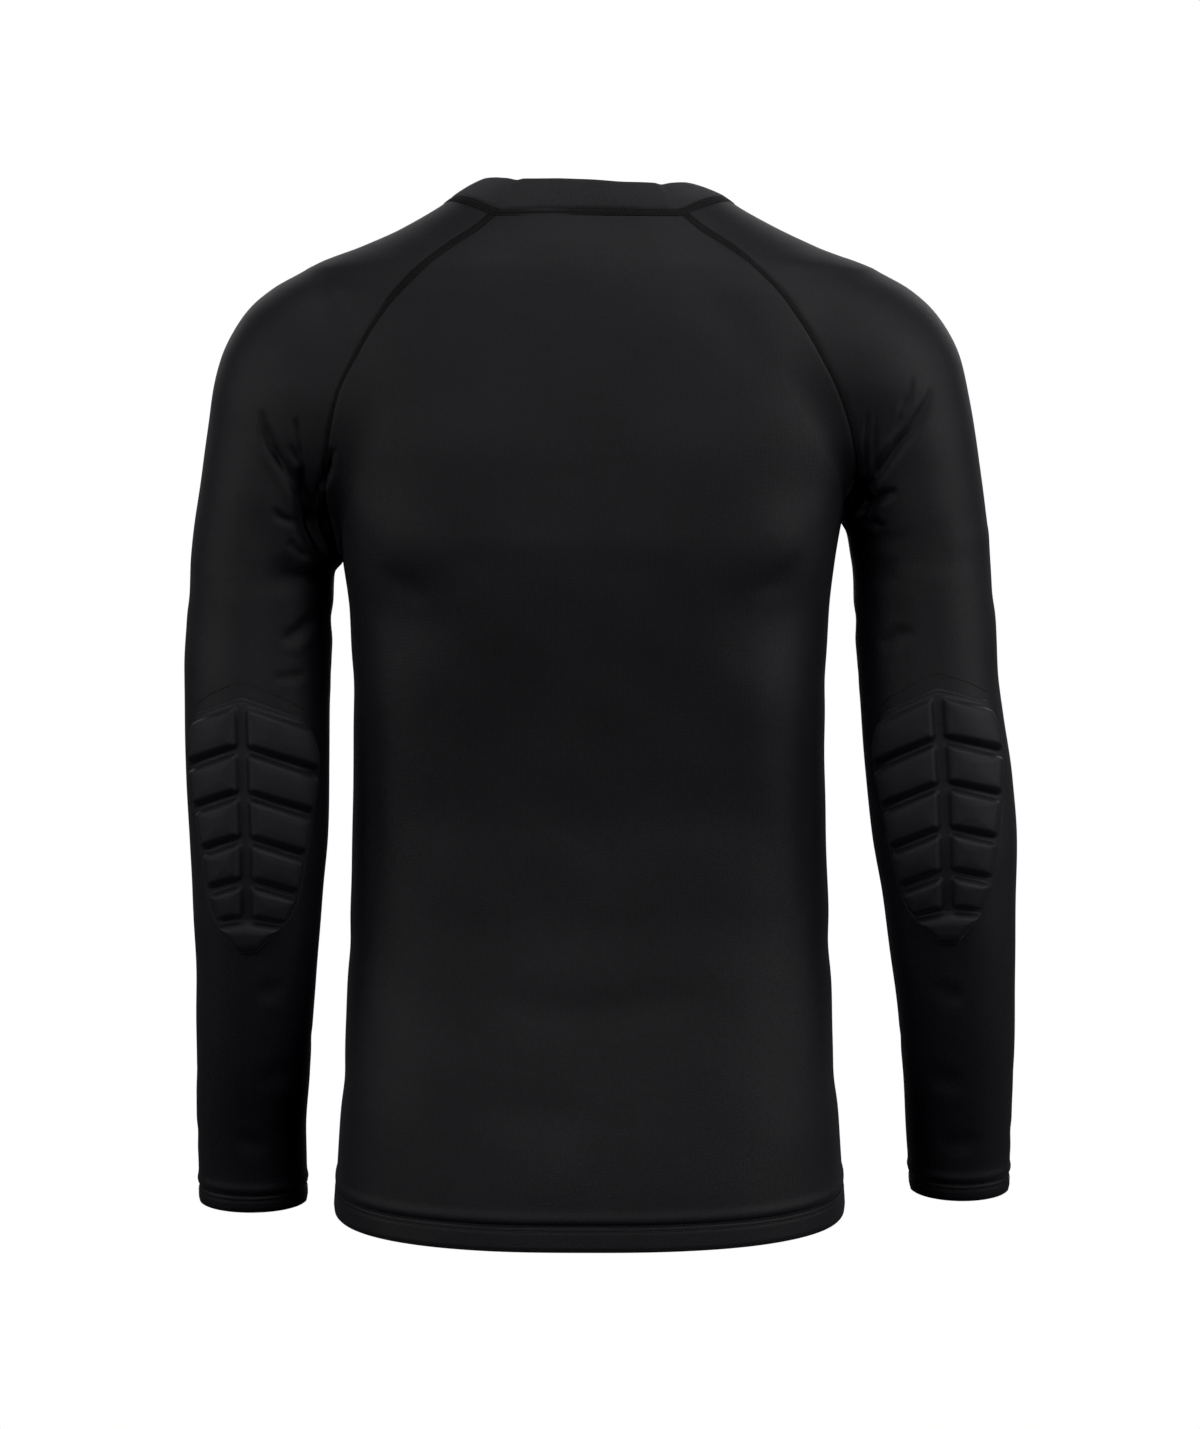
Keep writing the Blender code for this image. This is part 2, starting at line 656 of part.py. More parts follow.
def make_neck_rib(name):
    """A folded rib band that stands on the neck seam and leans in round the neck."""
    seam, normals = neck_loop()
    turn = np.arctan2(seam[:, 1] - NECK_AXIS_DEPTH, seam[:, 0])
    sideways = np.cos(turn) ** 2
    behind = np.sin(turn) > 0

    def round_neck(sizes):
        ends = np.where(behind, sizes["back"], sizes["front"])
        return ends * (1 - sideways) + sizes["side"] * sideways

    inward = -np.stack((np.cos(turn), np.sin(turn), np.zeros_like(turn)), axis=1)
    rise = round_neck(RIB_RISE) + RIB_TILT * np.cos(turn)
    top = seam + inward * round_neck(RIB_LEAN)[:, None] + np.outer(rise, (0, 0, 1))
    band = unit(top - seam)
    along = np.roll(seam, -1, axis=0) - np.roll(seam, 1, axis=0)
    out = unit(np.cross(along, band))
    out *= np.sign(np.sum(out * -inward, axis=1, keepdims=True))
    rising = unit(band - normals * np.sum(band * normals, axis=1, keepdims=True))
    foot = seam + rising * SEAM_GAP / 2
    middle = (foot + top) / 2 + out * RIB_BULGE
    profile = (
        foot,
        middle,
        top,
        top - out * RIB_THICKNESS,
        middle - out * RIB_THICKNESS,
        foot - normals * RIB_THICKNESS,
    )
    count, deep = len(seam), len(profile)
    vertices = np.stack(profile, axis=1).reshape(-1, 3)
    faces = []
    for place in range(count):
        following = (place + 1) % count
        for level in range(deep):
            above = (level + 1) % deep
            faces.append(
                (place * deep + level, following * deep + level, following * deep + above, place * deep + above)
            )
    return make_object(name, vertices, faces, RIB_COLOUR, CLOTH_ROUGHNESS)


def pad_lines_down():
    """Distances down the pad's spine, and whether each lies on top of a block row or of the tip."""
    lines = [(0.0, "")]
    for start, end in PAD_BLOCKS + (PAD_TIP,):
        mark = "tip" if (start, end) == PAD_TIP else "block"
        lines += [(start, ""), (start + PAD_UPPER_SLOPE, mark), (end - PAD_LOWER_SLOPE, mark), (end, "")]
    return lines + [(PAD_LENGTH, "")]


def pad_lines_across(half_width):
    """Distances across from the spine, and whether each lies on top of a block."""
    scale = min(1.0, half_width / PAD_FULL_WIDTH)
    spine, rim, slope = PAD_SPINE * scale, PAD_RIM * scale, PAD_SIDE_SLOPE * scale
    first, last = spine + slope, half_width - rim - slope
    half = [(spine, "")]
    half += [(first + (last - first) * share, "top") for share in (0.0, 0.25, 0.5, 0.75, 1.0)]
    half += [(half_width - rim, ""), (half_width, "edge")]
    return [(-across, mark) for across, mark in reversed(half)] + half


def sleeve_point(side, turn, height):
    """A point of a sleeve's outside, by its turn from straight back towards the outer side."""
    table = ARM[side]
    inner, outer = table("inner", height), table("outer", height)
    out = (inner + outer) / 2 + (outer - inner) / 2 * np.sin(turn)
    depth = table("middle", height) + table("half_depth", height) * np.cos(turn)
    return np.stack((side * out, depth, height), axis=-1)


def make_elbow_pad(name, side):
    """A moulded pad on the back of the elbow: rows of slanted blocks on a thin flange."""
    turns, heights, raised = [], [], []
    for down, row_mark in pad_lines_down():
        half_width = float(PAD_OUTLINE("half_width", down))
        chevron = float(PAD_OUTLINE("chevron", down))
        turned = PAD_TURN_AT_APEX[side] + (PAD_TURN_AT_TIP[side] - PAD_TURN_AT_APEX[side]) * down / PAD_LENGTH
        for across, mark in pad_lines_across(half_width):
            across *= PAD_OUTER_SHARE[side] if across > 0 else PAD_BODY_SHARE[side]
            level = PAD_APEX_HEIGHT[side] - down - chevron * abs(across) + PAD_LEAN[side] * across
            radius = float(ARM[side]("half_depth", level))
            turns.append(math.radians(turned) + across / radius)
            heights.append(level)
            on_block = row_mark == "block" and mark == "top"
            on_tip = row_mark == "tip" and (mark == "top" or abs(across) < half_width / 2)
            raised.append(PAD_BLOCK_HEIGHT if on_block or on_tip else 0.0)
    turns, heights, raised = np.array(turns), np.array(heights), np.array(raised)
    on_sleeve = sleeve_point(side, turns, heights)
    normals = outward(ARM_FORM[side], on_sleeve)
    inner = on_sleeve + normals * PAD_CLEARANCE
    outer = inner + normals * (PAD_FLANGE + raised)[:, None]
    width = len(pad_lines_across(PAD_FULL_WIDTH))
    count = len(pad_lines_down())
    quads = []
    for row in range(count - 1):
        for column in range(width - 1):
            corner = row * width + column
            quads.append([corner, corner + 1, corner + width + 1, corner + width])
    return walled_sheet(name, outer, inner, quads, PAD_COLOUR, PAD_ROUGHNESS)


def main():
    for old in list(bpy.data.objects):
        bpy.data.objects.remove(old)
    make_body_panel("front_panel", FRONT)
    make_body_panel("back_panel", BACK)
    make_sleeve("sleeve_left", LEFT)
    make_sleeve("sleeve_right", RIGHT)
    make_neck_rib("neck_rib")
    make_elbow_pad("elbow_pad_left", LEFT)
    make_elbow_pad("elbow_pad_right", RIGHT)


main()
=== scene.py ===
"""Padded compression shirt: the black knit, its creases and seams, the rib neck and the moulded elbow pads.

Metres, +Z up. The front faces -Y, and the wearer's left arm is at +X. The camera looks at the back.
"""

import math
from collections import namedtuple

import bpy
import numpy as np
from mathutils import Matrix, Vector


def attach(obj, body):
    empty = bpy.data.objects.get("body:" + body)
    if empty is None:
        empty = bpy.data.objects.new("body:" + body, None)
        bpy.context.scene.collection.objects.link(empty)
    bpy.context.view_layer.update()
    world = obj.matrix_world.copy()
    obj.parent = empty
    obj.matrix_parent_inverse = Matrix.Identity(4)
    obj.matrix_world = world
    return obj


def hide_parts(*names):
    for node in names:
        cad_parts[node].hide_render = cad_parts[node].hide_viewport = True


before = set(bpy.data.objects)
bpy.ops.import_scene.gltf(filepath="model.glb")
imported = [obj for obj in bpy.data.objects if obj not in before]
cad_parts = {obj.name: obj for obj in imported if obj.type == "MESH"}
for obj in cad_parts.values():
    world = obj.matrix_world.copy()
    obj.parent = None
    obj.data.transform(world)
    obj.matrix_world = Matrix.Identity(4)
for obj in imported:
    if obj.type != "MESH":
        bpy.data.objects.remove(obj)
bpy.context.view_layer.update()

LEFT, RIGHT = 1, -1
FRONT, BACK = -1, 1
SIDES = (LEFT, RIGHT)
SIDE_NAMES = {LEFT: "left", RIGHT: "right"}
FACE_NAMES = {FRONT: "front", BACK: "back"}

# How finely each piece is divided
SEAM_STEPS, FINE_SEAM_STEPS = 168, 1600
BODY_STEPS, BODY_COLUMNS = 160, 200
ARM_STEPS, ARM_COLUMNS = 216, 180
HEM_ROWS, HEM_SHARE = 40, 0.065
CUFF_ROWS, CUFF_SHARE = 26, 0.048
COLUMN_CROWDING = 0.015
NECK_STEPS, NECK_LINE_PASSES, RIB_FACE_PASSES = 400, 6, 30
PAD_ROWS, PAD_COLUMNS = 230, 112
THREAD_SIDES = 6

# How far the rays that find the cloth run, and where they start
BODY_REACH, ARM_REACH, SEAM_REACH = 0.30, 0.22, 0.22
FAN_REACH = 0.11
SEAM_RAYS_FROM = 0.20
SEAM_CROWDING = 3.0
# Rays past a gap start this share of the blend's radius inside, and this far at least
NEAR_SHARE, NEAR_LEAST, NEAR_SPAN = 0.9, 0.0005, 2.0

# Sizes of the cut, as in the part
UNDERARM_HEIGHT = {LEFT: -0.231, RIGHT: -0.207}
UNDERARM_DEPTH = 0.012
HEM_SIDE, HEM_BACK, HEM_FRONT = -0.652, -0.661, -0.656
CUFF_HEIGHT = {LEFT: -0.658, RIGHT: -0.650}
CUFF_TILT = 0.10
NECK_AXIS_DEPTH = 0.018
NECK_BACK_HEIGHT = -0.005
NECK_FRONT_HEIGHT = -0.085
CAP_STEEPNESS = 3.0
# How flat the rows of the panels run in the middle before they bow to their ends
ROW_BOW, HEM_BOW = 2.2, 2.5
RAGLAN_UNDERARM = (0.1620, -0.2070)
RAGLAN_FIXED_ABOVE = -0.110
OWN_FORM_FROM = 0.60
RIB_TILT = 0.0018
ARM_MIDDLE = {LEFT: 0.213, RIGHT: -0.226}

# Turned edges. The relief's rows: how far it stands up, how far above the upper stitches, half its width
HEM_DEPTH, CUFF_DEPTH = 0.0165, 0.0115
TURNED_UNDER = 0.0016
TURNED_BULGE = 0.0005
BAND_FULL_BELOW, BAND_FULL_ABOVE = 0.004, 0.003
NEEDLE_GAP = 0.0036
EDGE_RELIEF = ((0.0009, 0.0042, 0.0034), (-0.0008, 0.0, 0.0011), (-0.0004, -NEEDLE_GAP, 0.0009))
EDGE_FOLD = ((0.25, -0.0004), (0.75, -0.0004), (1.0, 0.0004))

# Seams and needlework
SEAM_ALLOWANCE = 0.0022
SEAM_PULL_REACH, SEAM_PULL_DEPTH = 0.0042, 0.0011
COVER_HALF_WIDTH, COVER_LIFT, COVER_MOST_BEND = 0.0029, 0.0001, 0.0012
COVER_STOPS_BEFORE = 10
STITCH_LENGTH, STITCH_PITCH, STITCH_WIDTH = 0.0020, 0.0028, 0.00045
THREAD_LIFT, NEEDLE_LIFT = 0.0002, 0.00005
# One stitch: places along it, how thick it is there, and how far it stands up, in shares of its size
STITCH_PROFILE = ((-0.5, 0.35, 0.0), (-0.36, 0.9, 0.55), (0.0, 1.0, 0.8), (0.36, 0.9, 0.55), (0.5, 0.35, 0.0))
# The band of a cover stitch from its edge to its middle: share of its half width, and how far it stands up
COVER_HALF = (
    (1.00, 0.00002), (0.88, 0.00022), (0.76, 0.00006), (0.66, -0.00025), (0.56, 0.00006), (0.40, 0.00024),
)
COVER_PROFILE = [(-share, rise) for share, rise in COVER_HALF] + [(0.0, 0.00030), *COVER_HALF[::-1]]
NEEDLE_PLACES = (3, 9)
NECK_COVER_HALF_WIDTH, NECK_COVER_BELOW, NECK_COVER_LIFT = 0.0024, 0.0030, 0.0004
# The rib, up the outside, over the fold and down the inside: share up the band, how far it stands out
RIB_PROFILE = (
    (-0.04, -0.0012), (0.00, 0.0002), (0.05, 0.0008), (0.12, 0.0010), (0.25, 0.0012), (0.40, 0.0013),
    (0.55, 0.0013), (0.70, 0.0011), (0.83, 0.0008), (0.92, 0.0004), (0.98, -0.0003), (1.00, -0.0011),
    (0.98, -0.0019), (0.92, -0.0024), (0.80, -0.0025), (0.60, -0.0024), (0.40, -0.0023), (0.20, -0.0022),
    (0.05, -0.0022),
)

# The rib's uneven face: how far each wave stands, how many go round, and where it starts
RIB_WAVES = ((0.00025, 5, 0.7), (0.00018, 11, 2.1))

# Creases: where the cloth beside one stands up, in its widths, and how squarely cloth must face to show it
LIP_PLACE, LIP_WIDTH = 1.75, 0.95
FACING_FROM, FACING_SOFTNESS = 0.12, 0.45
NARROW_CREASE = 0.004
# The wave texture's period is about a third of a unit at scale 1, so a pitch in metres asks for this / pitch
WAVE_PERIOD = 0.3142
# Noise scales are about one over the size: patches of 90 mm, a grain of 1.6 mm, a twist of 0.7 mm
TONE_PATCHES, KNIT_GRAIN, THREAD_TWIST = 11.0, 620.0, 1400.0

# Elbow pads, as in the part
PAD_APEX_HEIGHT = {LEFT: -0.314, RIGHT: -0.308}
PAD_TURN_AT_APEX = {LEFT: 8.0, RIGHT: 2.0}
PAD_TURN_AT_TIP = {LEFT: 4.5, RIGHT: -6.5}
PAD_LEAN = {LEFT: 0.0, RIGHT: 0.09}
PAD_OUTER_SHARE = {LEFT: 0.82, RIGHT: 0.88}
PAD_BODY_SHARE = {LEFT: 1.00, RIGHT: 0.93}
PAD_LENGTH = 0.1675
PAD_FLANGE, PAD_BLOCK_HEIGHT = 0.0016, 0.0058
PAD_RIM, PAD_SPINE, PAD_SPINE_BEND = 0.0040, 0.0026, 0.003
PAD_CORNER, PAD_TIP_CORNER = 0.0035, 0.0030
PAD_SIDE_SLOPE, PAD_OUTER_SLOPE = 0.0050, 0.0105
PAD_UPPER_SLOPE, PAD_LOWER_SLOPE = 0.0044, 0.0054
# Where each row of blocks starts and ends, and the tip block, down from the pad's apex
PAD_BLOCKS = ((0.0050, 0.0318), (0.0346, 0.0605), (0.0632, 0.0892), (0.0919, 0.1161), (0.1197, 0.1411))
PAD_TIP = (0.1436, 0.1655)
# A block's rise: how steep its sides are, how far in its crown reaches, and the share of each
PAD_BLOCK_RISE = (2.2, 0.011, 0.88, 0.12)
PAD_TIP_RISE = (2.0, 0.009, 0.85, 0.25)
# Their skin over the sleeve, the rolled rim, and the stitches in their groove
PAD_BASE, PAD_STAND, PAD_ROLL = 0.0005, 0.0007, 0.0016
PAD_STITCH_INSET, PAD_GROOVE_DEPTH, PAD_GROOVE_WIDTH = 0.0026, 0.0004, 0.0006
PAD_STITCH_WIDTH = 0.0004
PAD_SIDE_POINTS, PAD_TOP_POINTS = 160, 80
ARC_ABOVE, ARC_BEND, ARC_HALF_WIDTH, ARC_POINTS = 0.0095, 0.004, 0.047, 110


# The shirt's form
class Table:
    """Rows of named columns, read between the rows along a smooth curve that never overshoots them."""

    def __init__(self, columns, rows):
        data = np.array(sorted(rows), float)
        self.at = data[:, 0]
        self.values = dict(zip(columns[1:], data[:, 1:].T))
        self.slopes = {name: self._slopes(column) for name, column in self.values.items()}

    def _slopes(self, column):
        steps = np.diff(self.at)
        secants = np.diff(column) / steps
        slopes = np.zeros(len(column))
        slopes[0], slopes[-1] = secants[0], secants[-1]
        before, after = secants[:-1], secants[1:]
        same_way = before * after > 0
        first = 2 * steps[1:] + steps[:-1]
        second = steps[1:] + 2 * steps[:-1]
        safe_before = np.where(same_way, before, 1.0)
        safe_after = np.where(same_way, after, 1.0)
        mean = (first + second) / (first / safe_before + second / safe_after)
        slopes[1:-1] = np.where(same_way, mean, 0.0)
        return slopes

    def __call__(self, name, at):
        at = np.clip(np.asarray(at, float), self.at[0], self.at[-1])
        row = np.clip(np.searchsorted(self.at, at) - 1, 0, len(self.at) - 2)
        step = self.at[row + 1] - self.at[row]
        t = (at - self.at[row]) / step
        value, slope = self.values[name], self.slopes[name]
        return (
            value[row] * (1 + 2 * t) * (1 - t) ** 2
            + slope[row] * step * t * (1 - t) ** 2
            + value[row + 1] * t**2 * (3 - 2 * t)
            + slope[row + 1] * step * t**2 * (t - 1)
        )


TORSO = Table(("height", "half_width", "front", "back", "widest", "squareness"), (
    (0.030, 0.0560, -0.020, 0.0540, 0.018, 2.0),
    (0.000, 0.0885, -0.030, 0.0660, 0.018, 2.0),
    (-0.018, 0.1190, -0.037, 0.0750, 0.018, 2.0),
    (-0.030, 0.1450, -0.043, 0.0820, 0.018, 2.0),
    (-0.0435, 0.1770, -0.049, 0.0890, 0.017, 2.0),
    (-0.060, 0.1870, -0.056, 0.0955, 0.016, 2.1),
    (-0.085, 0.1870, -0.067, 0.1030, 0.015, 2.2),
    (-0.120, 0.1820, -0.082, 0.1090, 0.014, 2.3),
    (-0.160, 0.1745, -0.096, 0.1125, 0.013, 2.4),
    (-0.207, 0.1620, -0.107, 0.1120, 0.012, 2.45),
    (-0.231, 0.1580, -0.1095, 0.1095, 0.012, 2.5),
    (-0.265, 0.1540, -0.110, 0.1050, 0.010, 2.5),
    (-0.300, 0.1530, -0.108, 0.1000, 0.008, 2.5),
    (-0.350, 0.1525, -0.104, 0.0940, 0.005, 2.5),
    (-0.400, 0.1535, -0.101, 0.0900, 0.003, 2.5),
    (-0.450, 0.1555, -0.099, 0.0900, 0.002, 2.5),
    (-0.500, 0.1575, -0.098, 0.0945, 0.003, 2.5),
    (-0.550, 0.1595, -0.098, 0.1030, 0.005, 2.5),
    (-0.590, 0.1625, -0.099, 0.1100, 0.006, 2.45),
    (-0.625, 0.1650, -0.100, 0.1150, 0.007, 2.4),
    (-0.665, 0.1680, -0.101, 0.1180, 0.008, 2.4),
))

ARM_TABLE_COLUMNS = ("height", "inner", "outer", "middle", "half_depth")
LEFT_ARM = Table(ARM_TABLE_COLUMNS, (
    (-0.0435, 0.1500, 0.1755, 0.016, 0.016),
    (-0.0565, 0.1300, 0.2010, 0.016, 0.033),
    (-0.0695, 0.1240, 0.2170, 0.016, 0.043),
    (-0.0825, 0.1215, 0.2265, 0.016, 0.049),
    (-0.1000, 0.1210, 0.2350, 0.015, 0.054),
    (-0.1215, 0.1230, 0.2410, 0.014, 0.057),
    (-0.1500, 0.1305, 0.2455, 0.013, 0.057),
    (-0.1800, 0.1410, 0.2500, 0.012, 0.055),
    (-0.2080, 0.1515, 0.2540, 0.012, 0.052),
    (-0.2310, 0.1580, 0.2565, 0.012, 0.050),
    (-0.2390, 0.1640, 0.2570, 0.012, 0.0495),
    (-0.2520, 0.1650, 0.2580, 0.013, 0.049),
    (-0.2700, 0.1660, 0.2595, 0.014, 0.0480),
    (-0.3000, 0.1665, 0.2615, 0.016, 0.0470),
    (-0.3300, 0.1675, 0.2610, 0.018, 0.0465),
    (-0.3700, 0.1680, 0.2605, 0.020, 0.0455),
    (-0.4100, 0.1695, 0.2585, 0.021, 0.0440),
    (-0.4500, 0.1730, 0.2570, 0.019, 0.0420),
    (-0.4900, 0.1765, 0.2560, 0.014, 0.0395),
    (-0.5300, 0.1805, 0.2570, 0.007, 0.0370),
    (-0.5700, 0.1835, 0.2575, -0.001, 0.0340),
    (-0.6100, 0.1865, 0.2585, -0.010, 0.0310),
    (-0.6650, 0.1870, 0.2585, -0.020, 0.0285),
))
RIGHT_ARM = Table(ARM_TABLE_COLUMNS, (
    (-0.0435, 0.1500, 0.1775, 0.016, 0.016),
    (-0.0565, 0.1300, 0.2025, 0.016, 0.033),
    (-0.0695, 0.1240, 0.2180, 0.016, 0.043),
    (-0.0825, 0.1220, 0.2275, 0.016, 0.049),
    (-0.1000, 0.1220, 0.2360, 0.015, 0.054),
    (-0.1215, 0.1280, 0.2425, 0.014, 0.057),
    (-0.1500, 0.1390, 0.2480, 0.013, 0.056),
    (-0.1800, 0.1520, 0.2525, 0.012, 0.053),
    (-0.2070, 0.1620, 0.2560, 0.012, 0.0505),
    (-0.2130, 0.1655, 0.2570, 0.012, 0.050),
    (-0.2260, 0.1680, 0.2580, 0.012, 0.0495),
    (-0.2390, 0.1700, 0.2590, 0.013, 0.049),
    (-0.2700, 0.1715, 0.2620, 0.014, 0.0480),
    (-0.3000, 0.1730, 0.2635, 0.016, 0.0470),
    (-0.3300, 0.1755, 0.2675, 0.018, 0.0465),
    (-0.3700, 0.1790, 0.2735, 0.020, 0.0460),
    (-0.4100, 0.1835, 0.2765, 0.021, 0.0445),
    (-0.4500, 0.1905, 0.2770, 0.019, 0.0420),
    (-0.4900, 0.1965, 0.2775, 0.014, 0.0395),
    (-0.5300, 0.2020, 0.2780, 0.007, 0.0370),
    (-0.5700, 0.2060, 0.2785, -0.001, 0.0340),
    (-0.6100, 0.2090, 0.2785, -0.010, 0.0310),
    (-0.6600, 0.2130, 0.2775, -0.020, 0.0285),
))
ARM = {LEFT: LEFT_ARM, RIGHT: RIGHT_ARM}

# How softly sleeve and body run together, by the height above the underarm
BLEND = Table(("above", "radius"), (
    (0.000, 0.0002),
    (0.012, 0.0030),
    (0.030, 0.0120),
    (0.060, 0.0280),
    (0.100, 0.0380),
    (0.135, 0.0240),
    (0.165, 0.0100),
    (0.190, 0.0060),
))

RAGLAN_COLUMNS = ("share", "out", "height")
BACK_RAGLAN = Table(RAGLAN_COLUMNS, (
    (0.000, 0.0570, -0.0060),
    (0.075, 0.0710, -0.0175),
    (0.140, 0.0845, -0.0260),
    (0.212, 0.0990, -0.0365),
    (0.280, 0.1115, -0.0480),
    (0.344, 0.1220, -0.0595),
    (0.402, 0.1305, -0.0710),
    (0.467, 0.1395, -0.0845),
    (0.535, 0.1475, -0.0990),
    (0.606, 0.1555, -0.1145),
    (0.674, 0.1615, -0.1300),
    (0.745, 0.1665, -0.1470),
    (0.807, 0.1695, -0.1620),
    (0.890, 0.1715, -0.1820),
    (1.000, 0.1620, -0.2070),
))
FRONT_RAGLAN = Table(RAGLAN_COLUMNS, (
    (0.000, 0.0680, -0.0430),
    (0.120, 0.0840, -0.0570),
    (0.260, 0.1040, -0.0770),
    (0.400, 0.1240, -0.1010),
    (0.540, 0.1410, -0.1270),
    (0.670, 0.1550, -0.1530),
    (0.800, 0.1665, -0.1800),
    (0.900, 0.1690, -0.1940),
    (1.000, 0.1620, -0.2070),
))
RAGLAN = {BACK: BACK_RAGLAN, FRONT: FRONT_RAGLAN}

CROWN = Table(("share", "out", "height"), (
    (0.00, 0.0885, -0.0025),
    (0.10, 0.1125, -0.0145),
    (0.20, 0.1400, -0.0285),
    (0.30, 0.1670, -0.0395),
    (0.40, 0.1900, -0.0500),
    (0.50, 0.2095, -0.0635),
    (0.60, 0.2250, -0.0815),
    (0.70, 0.2355, -0.1045),
    (0.80, 0.2430, -0.1345),
    (0.90, 0.2490, -0.1690),
    (1.00, 0.2550, -0.2070),
))

# The rib's height above the neck seam and its lean inward, by degrees round from the side:
# back above 0, front below
RIB_BAND = Table(("turn", "rise", "lean"), (
    (-90, 0.0160, 0.0100),
    (-60, 0.0148, 0.0118),
    (-30, 0.0118, 0.0160),
    (-10, 0.0100, 0.0192),
    (0, 0.0094, 0.0196),
    (10, 0.0102, 0.0192),
    (20, 0.0120, 0.0178),
    (30, 0.0152, 0.0158),
    (40, 0.0182, 0.0136),
    (50, 0.0180, 0.0112),
    (60, 0.0178, 0.0090),
    (75, 0.0178, 0.0068),
    (90, 0.0178, 0.0060),
))

PAD_OUTLINE = Table(("down", "half_width", "chevron"), (
    (0.0000, 0.0400, 0.38),
    (0.0110, 0.0510, 0.38),
    (0.0220, 0.0545, 0.38),
    (0.0370, 0.0535, 0.38),
    (0.0550, 0.0495, 0.38),
    (0.0730, 0.0455, 0.38),
    (0.0910, 0.0415, 0.38),
    (0.1170, 0.0365, 0.36),
    (0.1350, 0.0300, 0.30),
    (0.1480, 0.0220, 0.12),
    (0.1580, 0.0145, -0.10),
    (0.1675, 0.0060, -0.30),
))


def unit(vectors):
    return vectors / np.maximum(np.linalg.norm(vectors, axis=-1, keepdims=True), 1e-12)


def smoothstep(value):
    t = np.clip(value, 0.0, 1.0)
    return t * t * (3 - 2 * t)


def running_length(points):
    """How far along a line of points each one lies."""
    return np.concatenate(((0,), np.cumsum(np.linalg.norm(np.diff(points, axis=0), axis=1))))


def read_along(places, along, points):
    """A line's points at some places along it."""
    return np.stack([np.interp(places, along, column) for column in points.T], axis=1)


def ring_average(points):
    """A closed ring of points or directions, each averaged with its neighbours."""
    return (np.roll(points, 1, axis=0) + 2 * points + np.roll(points, -1, axis=0)) / 4


def torso_form(points):
    """Below zero inside the body, above zero outside it."""
    x, y, z = points.T
    half_width, widest = TORSO("half_width", z), TORSO("widest", z)
    front, back = TORSO("front", z), TORSO("back", z)
    square = TORSO("squareness", z)
    depth = np.where(y > widest, back - widest, widest - front)
    across, along = np.abs(x) / half_width, np.abs(y - widest) / depth
    share = (across**square + along**square) ** (1 / square)
    return (share - 1) * np.minimum(half_width, (back - front) / 2)


def arm_form(side):
    """Below zero inside one sleeve, above zero outside it."""
    table = ARM[side]
    top = table.at[-1]

    def form(points):
        x, y, z = points.T
        inner, outer = table("inner", z), table("outer", z)
        middle, half_depth = table("middle", z), table("half_depth", z)
        half_width = (outer - inner) / 2
        share = np.hypot((side * x - (inner + outer) / 2) / half_width, (y - middle) / half_depth)
        return (share - 1) * np.minimum(half_width, half_depth) + CAP_STEEPNESS * np.maximum(z - top, 0)

    return form


ARM_FORM = {side: arm_form(side) for side in SIDES}


def shirt_form(points):
    """The body and both sleeves run together, with a soft hollow where they meet."""
    value = torso_form(points)
    for side in SIDES:
        arm = ARM_FORM[side](points)
        radius = BLEND("radius", points[:, 2] - UNDERARM_HEIGHT[side])
        share = np.clip(0.5 + 0.5 * (arm - value) / radius, 0, 1)
        value = arm * (1 - share) + value * share - radius * share * (1 - share)
    return value


def outward(form, points, step=0.0004):
    """The direction straight out of a form at each point."""
    flat = points.reshape(-1, 3)
    slopes = [form(flat + axis) - form(flat - axis) for axis in np.eye(3) * step]
    return unit(np.stack(slopes, axis=1)).reshape(points.shape)


def cast(form, starts, directions, reach, samples=36, rounds=17):
    """The first place along each ray where the form's sign changes."""
    shape = starts.shape
    starts, directions = starts.reshape(-1, 3), directions.reshape(-1, 3)
    steps = np.linspace(0, reach, samples)
    first = np.full(len(starts), samples - 1)
    open_yet = np.ones(len(starts), bool)
    began = form(starts) > 0
    for number in range(1, samples):
        turned = open_yet & ((form(starts + directions * steps[number]) > 0) != began)
        first[turned] = number
        open_yet &= ~turned
    low, high = steps[first - 1], steps[first]
    for _ in range(rounds):
        middle = (low + high) / 2
        beyond = (form(starts + directions * middle[:, None]) > 0) != began
        low, high = np.where(beyond, low, middle), np.where(beyond, middle, high)
    return (starts + directions * high[:, None]).reshape(shape)


def cast_near(own_form, starts, directions, reach):
    """The shirt's surface close to where each ray leaves one piece's own form, past any gap beside it."""
    own = cast(own_form, starts, directions, reach)
    foot = np.where(own[..., 0] > 0, UNDERARM_HEIGHT[LEFT], UNDERARM_HEIGHT[RIGHT])
    near = (NEAR_LEAST + NEAR_SHARE * BLEND("radius", own[..., 2] - foot))[..., None] * directions
    return cast(shirt_form, own - near, near, NEAR_SPAN, samples=28)


def seam_outward(own_form, points, row_share):
    """The direction out of the shirt, turning to a piece's own form where the underarm crease is sharp."""
    own = smoothstep((row_share - OWN_FORM_FROM) / (1 - OWN_FORM_FROM))[:, None, None]
    return unit(outward(shirt_form, points) * (1 - own) + outward(own_form, points) * own)


def underarm(side):
    height = UNDERARM_HEIGHT[side]
    return np.array((side * float(TORSO("half_width", height)), UNDERARM_DEPTH, height))


def let_down(side, out, height):
    """Heights near the underarm, let down to where it lies on this side."""
    table_out, table_height = RAGLAN_UNDERARM
    foot = underarm(side)
    low = smoothstep((RAGLAN_FIXED_ABOVE - height) / (RAGLAN_FIXED_ABOVE - table_height))
    return out + (side * foot[0] - table_out) * low, height + (foot[2] - table_height) * low


